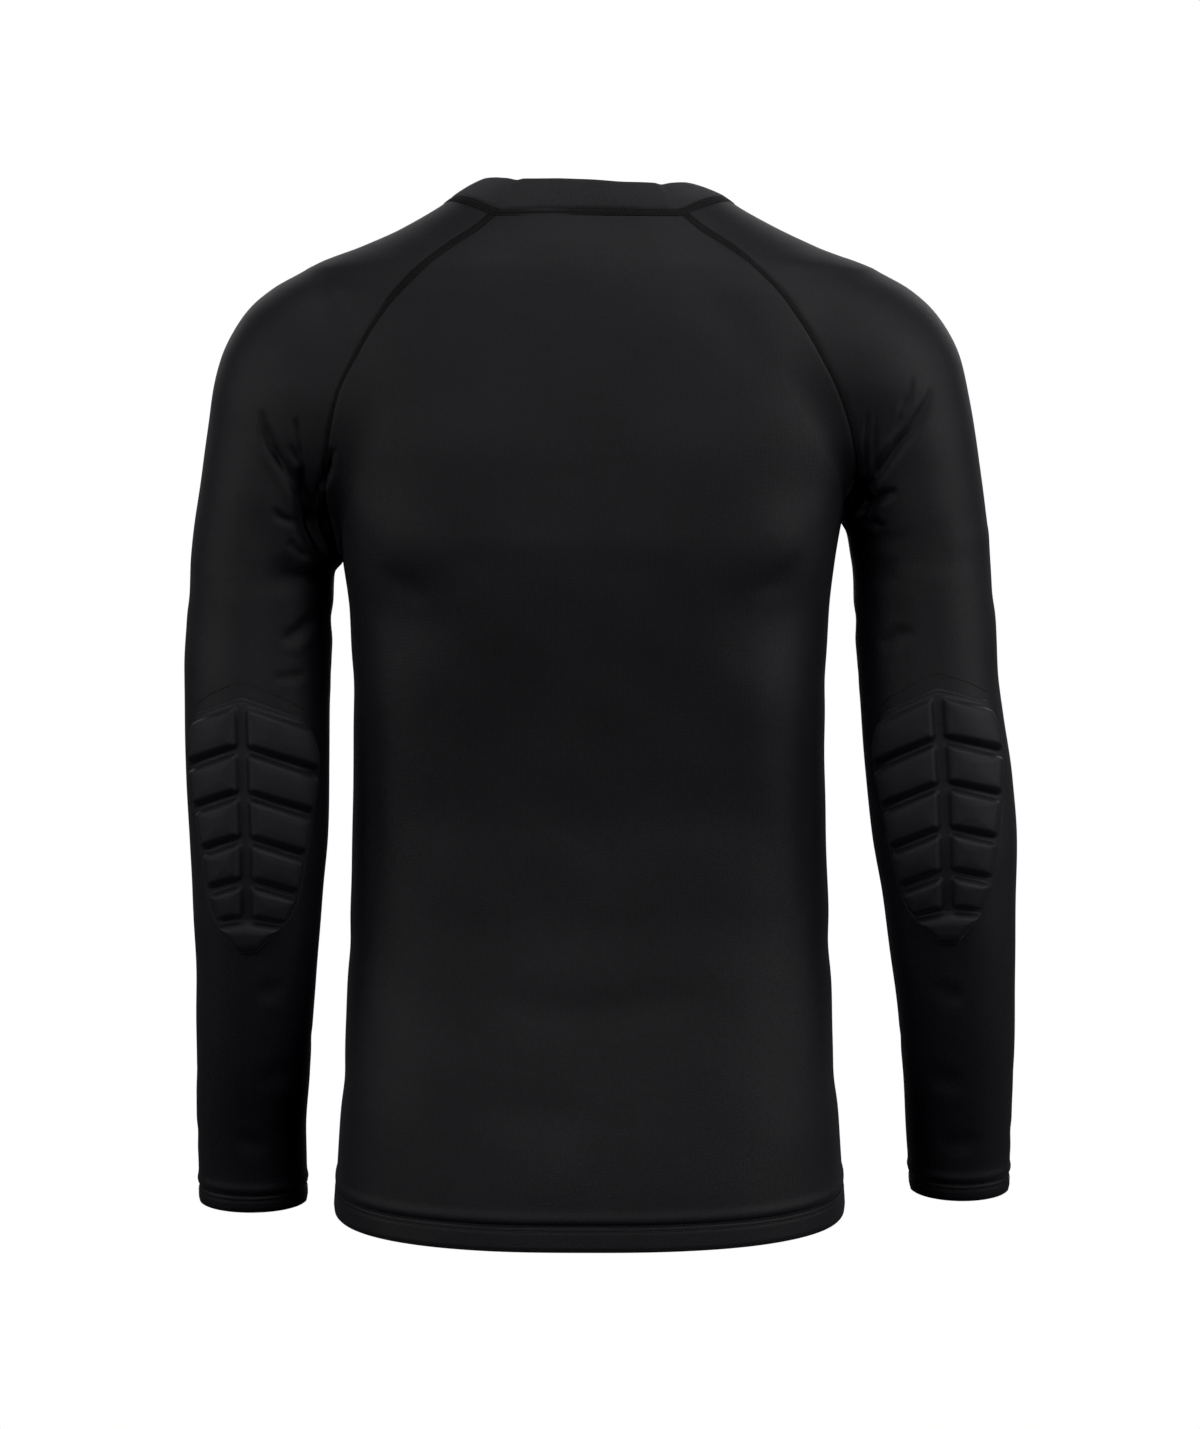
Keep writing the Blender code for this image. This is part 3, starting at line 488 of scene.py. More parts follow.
def raglan_seam(side, face):
    """Points down one raglan seam, evenly spaced from the neck to the underarm."""
    shares = 1 - (1 - np.linspace(0, 1, FINE_SEAM_STEPS)) ** SEAM_CROWDING
    out, height = let_down(side, RAGLAN[face]("out", shares), RAGLAN[face]("height", shares))
    starts = np.stack((side * out, np.full_like(out, face * SEAM_RAYS_FROM), height), axis=1)[:-1]
    towards = np.tile((0.0, -face * 1.0, 0.0), (len(starts), 1))
    fine = np.vstack((cast(shirt_form, starts, towards, SEAM_REACH), underarm(side)))
    along = running_length(fine)
    return read_along(np.linspace(0, along[-1], SEAM_STEPS + 1), along, fine)


SEAM = {(side, face): raglan_seam(side, face) for side in SIDES for face in (FRONT, BACK)}


# Creases
# Each is a trough along a line on the cloth, seen square on from one side: its points, its width, its depth,
# lip and lean. Millimetres: across is X as seen from the back or front, and Y as seen from an arm's outer or
# inner side. A negative depth is a ridge. lip is the share of the depth that the cloth beside the trough
# stands up by, and lean is which edge stands higher.
BACK_CREASES = (
    # wearer's left arm, gathered where it meets the body
    (((206, -132), (202, -149), (195, -163), (187, -176), (180, -192)), 3.2, 4.2, 0.12, 0.5),
    (((188, -152), (184, -165), (180, -182)), 1.9, 1.7, 0.15, -0.3),
    (((184, -136), (182, -153), (180, -168), (178, -186)), 2.2, 2.6, 0.15, 0.2),
    (((160, -155), (165, -169), (170, -183), (171, -198)), 2.6, 3.2, 0.08, -0.4),
    (((200, -194), (193, -201), (182, -203)), 2.4, 1.8, 0.10, 0.4),
    (((190, -214), (185, -221), (177, -226)), 2.6, 1.3, 0.10, 0),
    (((182, -168), (178, -188), (174, -206), (165, -232)), 6.2, 11, 0, 0),
    (((204, -228), (190, -236), (174, -246)), 9, 1.9, 0.2, 0),
    (((196, -280), (186, -274), (174, -264)), 4.2, 1.9, 0.5, 0.5),
    (((200, -302), (190, -302), (180, -300)), 3.2, 0.9, 0.5, 0),
    (((222, -182), (214, -204), (209, -226)), 8, 1, 0.3, 0),
    # wearer's right arm
    (((-168, -189), (-176, -179), (-184, -169), (-194, -155), (-204, -143), (-213, -128), (-216, -119)),
     3.2, 3.4, 0.22, -0.6),
    (((-190, -155), (-195, -140), (-199, -126), (-204, -111)), 2.4, 1.6, 0.20, 0.3),
    (((-175, -132), (-174, -155), (-175, -180)), 1.7, 1.3, 0.25, 0),
    (((-180, -132), (-180, -155), (-181, -176)), 1.7, 1.1, 0.25, 0),
    (((-168, -193), (-179, -189), (-194, -183)), 3, 3.4, 0.12, 0.5),
    (((-168, -197), (-176, -203), (-187, -206)), 2.8, 2.4, 0.12, 0),
    (((-173, -174), (-173, -190), (-167, -208)), 5.4, 8.5, 0, 0),
    (((-196, -226), (-188, -236), (-180, -248)), 8, 1.3, 0.2, 0),
    (((-226, -196), (-222, -218), (-224, -242)), 8.5, 0.9, 0.3, 0),
    (((-186, -284), (-196, -276), (-206, -272)), 4.4, 1.2, 0.5, 0),
    # below the pads, the forearms
    (((196, -500), (206, -506), (216, -508)), 6, 0.9, 0.4, 0),
    (((192, -556), (204, -566), (218, -570)), 7, 1, 0.4, 0),
    (((232, -604), (222, -612), (208, -614)), 6, 0.8, 0.4, 0),
    (((-222, -500), (-232, -508), (-243, -510)), 6, 0.9, 0.4, 0),
    (((-218, -560), (-232, -568), (-246, -570)), 7, 1, 0.4, 0),
    (((-256, -606), (-244, -612), (-228, -614)), 6, 0.8, 0.4, 0),
    # the back of the body: below the shoulder blades, down the sides, across the waist
    (((164, -190), (136, -200), (108, -214), (82, -232)), 20, -2.8, 0, 0),
    (((160, -240), (134, -254), (108, -268), (82, -286)), 25, 2.4, 0, 0),
    (((-160, -190), (-134, -202), (-108, -220), (-82, -244)), 20, -3.2, 0, 0),
    (((-156, -242), (-132, -258), (-108, -274), (-84, -294)), 25, 2.6, 0, 0),
    (((92, -252), (94, -330), (92, -436)), 12, 1.3, 0.2, 0),
    (((-122, -238), (-112, -290), (-111, -340), (-118, -410)), 20, -3.2, 0, 0),
    (((142, -262), (139, -330), (138, -400), (137, -476)), 7, 1.2, 0.3, 0),
    (((-143, -250), (-141, -330), (-139, -400), (-138, -470)), 7, 1.2, 0.3, 0),
    (((2, -60), (1, -160), (0, -300), (0, -420)), 15, 1, 0, 0),
    (((84, -494), (40, -508), (-20, -510), (-86, -496)), 13, 1.2, 0.25, 0),
    (((110, -560), (60, -573), (0, -577), (-50, -574)), 12, 0.8, 0.3, 0),
    (((132, -228), (118, -240), (98, -250)), 7.5, 0.9, 0.3, 0.3),
    (((-134, -222), (-120, -236), (-102, -248)), 7.5, 0.9, 0.3, -0.3),
    (((60, -44), (88, -72), (112, -108)), 13, 0.9, 0.2, 0),
    (((-58, -44), (-86, -72), (-112, -108)), 13, 0.9, 0.2, 0),
)
FRONT_CREASES = (
    (((202, -138), (196, -154), (187, -170), (176, -188)), 4.4, 3.6, 0.55, 0.4),
    (((186, -150), (181, -166), (177, -180)), 3, 1.9, 0.5, -0.3),
    (((158, -156), (164, -170), (169, -188)), 3.6, 2.2, 0.4, -0.4),
    (((200, -232), (188, -238), (174, -248)), 8, 1.6, 0.3, 0),
    (((-202, -134), (-194, -150), (-184, -166), (-172, -180)), 4.4, 3.4, 0.55, -0.4),
    (((-184, -140), (-180, -156), (-176, -170)), 3, 1.8, 0.5, 0.3),
    (((-198, -224), (-188, -232), (-178, -244)), 8, 1.4, 0.3, 0),
    (((240, -384), (222, -396), (198, -400), (184, -394)), 6.5, 1.7, 0.35, 0.3),
    (((226, -420), (208, -428), (190, -424)), 4.8, 1.3, 0.4, -0.2),
    (((238, -446), (224, -455), (210, -456)), 6, 0.8, 0.3, 0.2),
    (((-252, -396), (-236, -406), (-212, -402)), 6, 1.6, 0.35, -0.3),
    (((-240, -424), (-222, -436), (-206, -438)), 5.2, 1.4, 0.4, 0.2),
    (((-262, -430), (-252, -440), (-240, -442)), 5, 0.8, 0.3, -0.2),
    (((96, -180), (60, -214), (14, -228)), 17, 1.8, 0.2, 0),
    (((-92, -184), (-58, -212), (-12, -226)), 17, 1.6, 0.2, 0),
    (((104, -270), (100, -350), (96, -440)), 12, 1.3, 0.2, 0),
    (((-100, -262), (-102, -350), (-98, -430)), 12, 1.4, 0.2, 0),
    (((90, -500), (30, -514), (-40, -512), (-92, -498)), 13, 1.2, 0.25, 0),
    (((140, -240), (122, -252), (98, -260)), 7, 1, 0.3, 0.3),
    (((-140, -232), (-120, -246), (-98, -256)), 7, 1, 0.3, -0.3),
    (((222, -520), (212, -526), (200, -526)), 6, 0.9, 0.4, 0),
    (((-246, -524), (-236, -530), (-222, -530)), 6, 0.9, 0.4, 0),
)
OUTER_ARM_CREASES = (
    (((-14, -236), (4, -250), (26, -254)), 9, 1.1, 0.3, 0),
    (((-20, -300), (-6, -296), (10, -300)), 6, 1, 0.4, 0),
    (((-22, -410), (-12, -404), (0, -408)), 5, 1.3, 0.5, 0),
    (((-32, -560), (-14, -566), (6, -562)), 7, 0.9, 0.4, 0),
    (((-26, -604), (-14, -610), (0, -606)), 6, 0.7, 0.4, 0),
)
INNER_ARM_CREASES = (
    (((-18, -262), (2, -270), (24, -266)), 7, 1.4, 0.4, 0),
    (((-24, -302), (-6, -308), (14, -302)), 6, 1.1, 0.4, 0),
    (((-22, -392), (-6, -400), (12, -394)), 5, 1.8, 0.5, 0),
    (((-24, -420), (-8, -426), (8, -420)), 4.6, 1.5, 0.5, 0),
    (((-30, -540), (-14, -546), (4, -542)), 6, 0.9, 0.4, 0),
)
FLANK_CREASES = (
    (((-60, -300), (-10, -312), (50, -300)), 14, 1, 0.2, 0),
    (((-56, -470), (-4, -482), (54, -474)), 14, 1.1, 0.2, 0),
    (((-50, -560), (0, -570), (56, -562)), 12, 0.8, 0.2, 0),
)
CREASES = {
    "back": BACK_CREASES,
    "front": FRONT_CREASES,
    "outer": OUTER_ARM_CREASES,
    "inner": INNER_ARM_CREASES,
    "flanks": FLANK_CREASES,
}


def soft_line(path, steps=28):
    """A smooth line through a crease's points."""
    points = np.array(path, float) / 1000
    padded = np.vstack((2 * points[0] - points[1], points, 2 * points[-1] - points[-2]))
    line = []
    for number in range(1, len(padded) - 2):
        before, start, end, after = padded[number - 1 : number + 3]
        for t in np.arange(0, 1, (len(points) - 1) / steps):
            line.append(
                0.5 * (2 * start + (end - before) * t + (2 * before - 5 * start + 4 * end - after) * t**2
                       + (3 * start - before - 3 * end + after) * t**3)
            )
    return np.array(line + [points[-1]])


def crease_depth(flat, path, width, depth, lip, lean, phase):
    """How far one crease lowers each point of the cloth, from the points' places as seen square on."""
    line = soft_line(path)
    width, depth = width / 1000, depth / 1000
    low, high = line.min(axis=0) - 5 * width, line.max(axis=0) + 5 * width
    near = np.flatnonzero(np.all((flat > low) & (flat < high), axis=1))
    lowered = np.zeros(len(flat))
    if not len(near):
        return lowered
    points = flat[near]
    ways, along = np.diff(line, axis=0), running_length(line)
    best = np.full(len(points), 1e9)
    share, signed = np.zeros(len(points)), np.zeros(len(points))
    for start, way, length, passed in zip(line, ways, np.linalg.norm(ways, axis=1), along):
        offset = points - start
        t = np.clip(offset @ way / length**2, 0, 1)
        away = offset - t[:, None] * way
        distance = np.hypot(*away.T)
        closer = distance < best
        best[closer] = distance[closer]
        cross = way[0] * away[:, 1] - way[1] * away[:, 0]
        signed[closer] = (np.sign(cross) * distance)[closer]
        share[closer] = ((passed + t * length) / along[-1])[closer]
    # narrow creases run rougher and end more bluntly than broad ones
    rough = min(1.0, NARROW_CREASE / width)
    ends = np.clip(np.sin(math.pi * np.clip(share, 0, 1)), 0, 1) ** (1.7 - 1.1 * rough)
    uneven = 1 + rough * (0.18 * np.sin(9 * share + phase) + 0.08 * np.sin(23 * share + 2.3 * phase))
    spread = width * (0.75 + 0.35 * ends) * (1 + 0.10 * rough * np.sin(13 * share + phase))
    trough = np.exp(-((signed / spread) ** 2))
    first = np.exp(-(((signed - LIP_PLACE * spread) / (LIP_WIDTH * spread)) ** 2))
    second = np.exp(-(((signed + LIP_PLACE * spread) / (LIP_WIDTH * spread)) ** 2))
    lips = lip * ((0.5 + 0.5 * lean) * first + (0.5 - 0.5 * lean) * second)
    lowered[near] = depth * ends * uneven * (trough - lips)
    return lowered


def creased(points, normals, on_arm):
    """Points of the cloth with the creases pressed in along their outward directions."""
    x, y, z = points.reshape(-1, 3).T
    facing_x, facing_y, _ = normals.reshape(-1, 3).T
    side = np.sign(x)
    outer = np.sign(x - np.where(x > 0, ARM_MIDDLE[LEFT], ARM_MIDDLE[RIGHT])) == side
    from_back, from_side = np.stack((x, z), axis=1), np.stack((y, z), axis=1)
    views = {"back": (from_back, facing_y, True), "front": (from_back, -facing_y, True)}
    if on_arm:
        views["outer"] = (from_side, facing_x * side, outer)
        views["inner"] = (from_side, -facing_x * side, ~outer)
    else:
        views["flanks"] = (from_side, facing_x * side, True)
    lowered = np.zeros(len(x))
    for name, (flat, facing, there) in views.items():
        shown = smoothstep((facing - FACING_FROM) / FACING_SOFTNESS) * there
        for number, crease in enumerate(CREASES[name]):
            lowered += shown * crease_depth(flat, *crease, phase=1.7 * number + len(name))
    # broad soft unevenness of hand-dressed cloth
    lowered += 0.00035 * np.sin(41 * x + 23 * z + 1.1) * np.sin(29 * z - 17 * y + 0.4)
    lowered += 0.00022 * np.sin(73 * x - 31 * z + 2.0) * np.sin(67 * z + 37 * y)
    return points - normals * lowered.reshape(*points.shape[:-1], 1)


# Making meshes
def placed(name, data):
    """A new object in the scene."""
    made = bpy.data.objects.new(name, data)
    bpy.context.scene.collection.objects.link(made)
    return made


def mesh_object(name, vertices, faces, material, places=None):
    mesh = bpy.data.meshes.new(name)
    mesh.from_pydata(vertices.tolist(), [], faces.tolist())
    if places is not None:
        layer = mesh.uv_layers.new(name="cloth")
        loops = np.zeros(len(mesh.loops), np.int32)
        mesh.loops.foreach_get("vertex_index", loops)
        layer.data.foreach_set("uv", places[loops].astype(np.float32).ravel())
    mesh.shade_smooth()
    mesh.materials.append(material)
    return placed(name, mesh)


def cloth_places(points):
    """Places across and down a grid of points, measured along the cloth in metres."""
    across = np.linalg.norm(np.diff(points, axis=1), axis=2)
    across = np.concatenate((np.zeros((len(points), 1)), np.cumsum(across, axis=1)), axis=1)
    across -= across[:, points.shape[1] // 2][:, None]
    down = np.linalg.norm(np.diff(points, axis=0), axis=2).mean(axis=1)
    down = np.concatenate(((0,), np.cumsum(down)))
    return np.stack((across, np.tile(down[:, None], (1, points.shape[1]))), axis=2).reshape(-1, 2)


def grid_quads(rows, columns):
    corner = (np.arange(rows - 1)[:, None] * columns + np.arange(columns - 1)).ravel()
    return np.stack((corner, corner + 1, corner + columns + 1, corner + columns), axis=1)


def sheet_object(name, points, material, flip=False):
    """One layer of cloth through a grid of points."""
    quads = grid_quads(*points.shape[:2])
    if flip:
        quads = quads[:, ::-1]
    return mesh_object(name, points.reshape(-1, 3), quads, material, cloth_places(points))


def stitches(name, lines, width=STITCH_WIDTH):
    """Rows of short threads lying along lines of points, each with its outward direction."""
    vertices, faces = [], []
    ring = np.arange(THREAD_SIDES) * 2 * math.pi / THREAD_SIDES
    ends = np.array([end for end, _, _ in STITCH_PROFILE])
    for points, normals in lines:
        along = running_length(points)
        for at in np.arange(STITCH_PITCH / 2, along[-1] - STITCH_LENGTH / 2, STITCH_PITCH):
            places = at + ends * STITCH_LENGTH
            centre = read_along(places, along, points)
            out = unit(read_along(places, along, normals))
            across = unit(np.cross(out, unit(centre[-1] - centre[0])))
            start = len(vertices)
            for (_, thick, lift), middle, up, sideways in zip(STITCH_PROFILE, centre, out, across):
                radius = width / 2 * thick
                for angle in ring:
                    vertices.append(
                        middle + up * (lift * width / 2 + radius * 0.7 * math.sin(angle))
                        + sideways * radius * math.cos(angle)
                    )
            for level in range(len(STITCH_PROFILE) - 1):
                a, b = start + level * THREAD_SIDES, start + (level + 1) * THREAD_SIDES
                for number in range(THREAD_SIDES):
                    following = (number + 1) % THREAD_SIDES
                    faces.append((a + number, a + following, b + following, b + number))
    return mesh_object(name, np.array(vertices), np.array(faces), THREAD)


# Materials
def linear(hex_colour):
    """An sRGB hex colour as linear numbers."""
    channels = [int(hex_colour[place : place + 2], 16) / 255 for place in (1, 3, 5)]
    return [c / 12.92 if c <= 0.04045 else ((c + 0.055) / 1.055) ** 2.4 for c in channels] + [1.0]


def fill(tree, node, inputs, links):
    """Sets a node's inputs to values, or to other nodes' outputs."""
    for name, value in dict(inputs).items():
        node.inputs[name].default_value = value
    for name, (source, output) in dict(links).items():
        tree.links.new(source.outputs[output], node.inputs[name])


def add(tree, kind, links=(), inputs=(), **settings):
    """Adds a node with its settings, input values and incoming links."""
    made = tree.nodes.new(kind)
    for name, value in settings.items():
        setattr(made, name, value)
    fill(tree, made, inputs, links)
    return made


def new_material(name):
    """A material with its node tree and its shader."""
    material = bpy.data.materials.new(name)
    material.use_nodes = True
    return material, material.node_tree, material.node_tree.nodes["Principled BSDF"]


def finish_of(name, colour, dark_colour, roughness, sheen, specular, knit_mm, knit_depth, ribs_mm=0.0):
    """A knit: its tone shifts softly, fine loops stand in rows, and the nap shines at the edges."""
    material, tree, shader = new_material(name)
    place = (add(tree, "ShaderNodeTexCoord"), "Object")
    cloth = (add(tree, "ShaderNodeUVMap", uv_map="cloth"), "UV")
    broad = add(
        tree, "ShaderNodeTexNoise", {"Vector": place},
        {"Scale": TONE_PATCHES, "Detail": 3.0, "Roughness": 0.55},
    )
    grain = add(
        tree, "ShaderNodeTexNoise", {"Vector": place},
        {"Scale": KNIT_GRAIN, "Detail": 2.0, "Roughness": 0.6},
    )
    tone = add(tree, "ShaderNodeMath", {0: (broad, "Fac"), 1: (grain, "Fac")}, operation="ADD")
    spread = add(
        tree, "ShaderNodeMapRange", {"Value": (tone, "Value")},
        {"From Min": 0.7, "From Max": 1.3, "To Min": 0.0, "To Max": 1.0},
    )
    mixed = add(
        tree, "ShaderNodeMix", {"Factor": (spread, "Result")},
        {"A": linear(dark_colour), "B": linear(colour)}, data_type="RGBA",
    )
    rough = add(
        tree, "ShaderNodeMapRange", {"Value": (tone, "Value")},
        {"From Min": 0.6, "From Max": 1.4, "To Min": roughness + 0.06, "To Max": roughness - 0.06},
    )
    wales, courses = (
        add(
            tree, "ShaderNodeTexWave", {"Vector": cloth},
            {"Scale": WAVE_PERIOD / (pitch_mm / 1000), "Distortion": distortion,
             "Detail": 1.0, "Detail Scale": 2.0},
            wave_type="BANDS", bands_direction=way, wave_profile="SIN",
        )
        for way, pitch_mm, distortion in (("X", knit_mm, 0.6), ("Y", knit_mm * 0.8, 0.8))
    )
    loops = add(tree, "ShaderNodeMath", {0: (wales, "Fac"), 1: (courses, "Fac")}, operation="MULTIPLY")
    height = add(tree, "ShaderNodeMath", {0: (loops, "Value"), 1: (grain, "Fac")}, operation="ADD")
    relief = add(
        tree, "ShaderNodeBump", {"Height": (height, "Value")},
        {"Strength": 0.55, "Distance": knit_depth / 1000},
    )
    if ribs_mm:
        ribs = add(
            tree, "ShaderNodeTexWave", {"Vector": cloth},
            {"Scale": WAVE_PERIOD / (ribs_mm / 1000), "Distortion": 0.15},
            wave_type="BANDS", bands_direction="X", wave_profile="SIN",
        )
        relief = add(
            tree, "ShaderNodeBump", {"Height": (ribs, "Fac"), "Normal": (relief, "Normal")},
            {"Strength": 0.7, "Distance": 0.00035},
        )
    fill(
        tree, shader,
        {
            "Specular IOR Level": specular, "IOR": 1.5, "Sheen Weight": sheen, "Sheen Roughness": 0.45,
            "Sheen Tint": linear("#a19da7"),
        },
        {"Base Color": (mixed, "Result"), "Roughness": (rough, "Result"), "Normal": (relief, "Normal")},
    )
    return material


# Polyester and elastane jersey, knitted about 28 loops to the inch and heat set: smooth and even, near black,
# with a dull sheen that spreads wide. The real loops are 0.6 mm apart; they are drawn 1.1 mm apart to show.
JERSEY = finish_of("polyester_elastane_jersey", "#1f1e23", "#17161a", 0.56, 0.22, 0.42, 1.1, 0.10)
# Rib knit of the same yarn with a washed, hairier face: a little paler and more matt, with upright ribs.
RIB = finish_of("rib_knit", "#3b3a3d", "#2f2e30", 0.68, 0.30, 0.36, 1.0, 0.08, ribs_mm=1.7)
# Cover stitch: textured thread looped so closely over a seam that it hides the cloth, more matt. Its colour
# is blacker than the jersey's: partly the thread's own, and partly painted shade for the shadow of its two
# sunk rows, which are too fine to show.
COVER = finish_of("looped_cover_thread", "#161518", "#0d0c0f", 0.70, 0.05, 0.30, 1.3, 0.16)
# The same jersey bonded over moulded foam: drawn tight, so its loops lie flatter and it shines a little more.
# Its colour is paler than the jersey's own: painted light, so that the blocks' tops read lighter.
BONDED_PAINTED_PALER = finish_of("jersey_bonded_to_foam", "#27262c", "#1e1d22", 0.55, 0.14, 0.42, 1.1, 0.07)


def thread_material():
    """Textured polyester thread, wound and dyed black: small round highlights and a darker root."""
    material, tree, shader = new_material("polyester_thread")
    place = (add(tree, "ShaderNodeTexCoord"), "Object")
    twist = add(
        tree, "ShaderNodeTexNoise", {"Vector": place},
        {"Scale": THREAD_TWIST, "Detail": 2.0, "Roughness": 0.5},
    )
    mixed = add(
        tree, "ShaderNodeMix", {"Factor": (twist, "Fac")},
        {"A": linear("#0e0d0f"), "B": linear("#1c1b1f")}, data_type="RGBA",
    )
    rough = add(tree, "ShaderNodeMapRange", {"Value": (twist, "Fac")}, {"To Min": 0.42, "To Max": 0.6})
    relief = add(tree, "ShaderNodeBump", {"Height": (twist, "Fac")}, {"Strength": 0.5, "Distance": 0.00008})
    fill(
        tree, shader, {"Specular IOR Level": 0.4, "Sheen Weight": 0.1},
        {"Base Color": (mixed, "Result"), "Roughness": (rough, "Result"), "Normal": (relief, "Normal")},
    )
    return material


THREAD = thread_material()


# Cloth pieces
Cloth = namedtuple("Cloth", "piece points out above_edge")


def turned_edge(points, normals, depth):
    """The cloth of a hem or cuff turned under: rows that fold round the edge and run back up inside."""
    last, out = points[-1], normals[-1]
    up = unit(points[-2] - points[-1])
    rows = [last - out * TURNED_UNDER * inset + up * rise for inset, rise in EDGE_FOLD]
    rows += [last - out * TURNED_UNDER + up * depth * share for share in np.linspace(0.15, 1.0, 5)]
    return np.vstack((points, np.array(rows)))


def crowded(steps, last_rows, last_share):
    """Shares from 0 to 1, the last rows drawn close together where an edge is turned and stitched."""
    upper = np.linspace(0, 1 - last_share, steps - last_rows, endpoint=False)
    return np.concatenate((upper, np.linspace(1 - last_share, 1, last_rows + 1)))


def turned_bulge(height_above, depth):
    """The relief of a turned edge: a puff over two sunk rows of stitches, and a slightly full band."""
    relief = sum(
        stand * np.exp(-(((height_above - depth - above) / width) ** 2))
        for stand, above, width in EDGE_RELIEF
    )
    band = smoothstep((depth - height_above) / BAND_FULL_BELOW) * smoothstep(height_above / BAND_FULL_ABOVE)
    return relief + TURNED_BULGE * band


def seam_turned_in(points, normals):
    """Each side edge of a piece, turned in along its seam so that two pieces meet in a fine groove."""
    first = points[:, :1] - normals[:, :1] * SEAM_ALLOWANCE
    last = points[:, -1:] - normals[:, -1:] * SEAM_ALLOWANCE
    return np.concatenate((first, points, last), axis=1)


def rounded_edges(points, normals):
    """Lowers the cloth softly towards its side edges, where the seams pull it down."""
    steps = np.linalg.norm(np.diff(points, axis=1), axis=2)
    along = np.concatenate((np.zeros((len(points), 1)), np.cumsum(steps, axis=1)), axis=1)
    to_edge = np.minimum(along, along[:, -1:] - along)
    sunk = SEAM_PULL_DEPTH * np.clip(1 - to_edge / SEAM_PULL_REACH, 0, 1) ** 2
    return points - normals * sunk[:, :, None]


def body_grid(face):
    """Outer points, outward directions and heights above the hem, for the front or the back."""
    shares = np.linspace(0, 1, BODY_COLUMNS + 1)
    # columns crowd a little towards the side edges
    shares = shares - COLUMN_CROWDING * np.sin(4 * math.pi * shares)
    neck = NECK_BACK_HEIGHT if face == BACK else NECK_FRONT_HEIGHT
    chest = (UNDERARM_HEIGHT[LEFT] + UNDERARM_HEIGHT[RIGHT]) / 2
    down = np.linspace(0, 1, SEAM_STEPS + 1)
    left_end, right_end = SEAM[LEFT, face], SEAM[RIGHT, face]
    middle_height = neck + (chest - neck) * down
    fan = FAN_REACH * down
    axis_depth = NECK_AXIS_DEPTH + (UNDERARM_DEPTH - NECK_AXIS_DEPTH) * down
    bow = np.abs(2 * shares - 1) ** ROW_BOW
    end_height = np.where(shares[None] < 0.5, left_end[:, 2:], right_end[:, 2:])
    height = middle_height[:, None] + (end_height - middle_height[:, None]) * bow
    left_turn = np.arctan2(np.abs(left_end[:, 1] - axis_depth), np.abs(left_end[:, 0]) - fan)
    right_turn = np.arctan2(np.abs(right_end[:, 1] - axis_depth), np.abs(right_end[:, 0]) - fan)
    angle = left_turn[:, None] + (math.pi - right_turn - left_turn)[:, None] * shares
    depth = np.broadcast_to(axis_depth[:, None], height.shape)
    starts = np.stack((fan[:, None] * np.cos(math.pi * shares), depth, height), axis=2)
    ways = np.stack((np.cos(angle), face * np.sin(angle), np.zeros_like(angle)), axis=2)
    high = int(OWN_FORM_FROM * SEAM_STEPS)
    upper = np.concatenate((
        cast(shirt_form, starts[:high], ways[:high], BODY_REACH),
        cast_near(torso_form, starts[high:-1], ways[high:-1], BODY_REACH),
        cast(torso_form, starts[-1:], ways[-1:], BODY_REACH),
    ))
    upper[:, 0], upper[:, -1] = left_end, right_end
    upper_out = seam_outward(torso_form, upper, down)

    middle = HEM_BACK if face == BACK else HEM_FRONT
    bottom = middle + (HEM_SIDE - middle) * np.abs(2 * shares - 1) ** HEM_BOW
    top = upper[-1][:, 2]
    level = top + (bottom - top) * crowded(BODY_STEPS, HEM_ROWS, HEM_SHARE)[1:, None]
    turn = np.broadcast_to(math.pi * shares, level.shape)
    starts = np.stack((FAN_REACH * np.cos(turn), TORSO("widest", level), level), axis=2)
    ways = np.stack((np.cos(turn), face * np.sin(turn), np.zeros_like(turn)), axis=2)
    lower = cast(torso_form, starts, ways, BODY_REACH)
    points = np.concatenate((upper, lower))
    return points, np.concatenate((upper_out, outward(torso_form, lower))), points[..., 2] - bottom


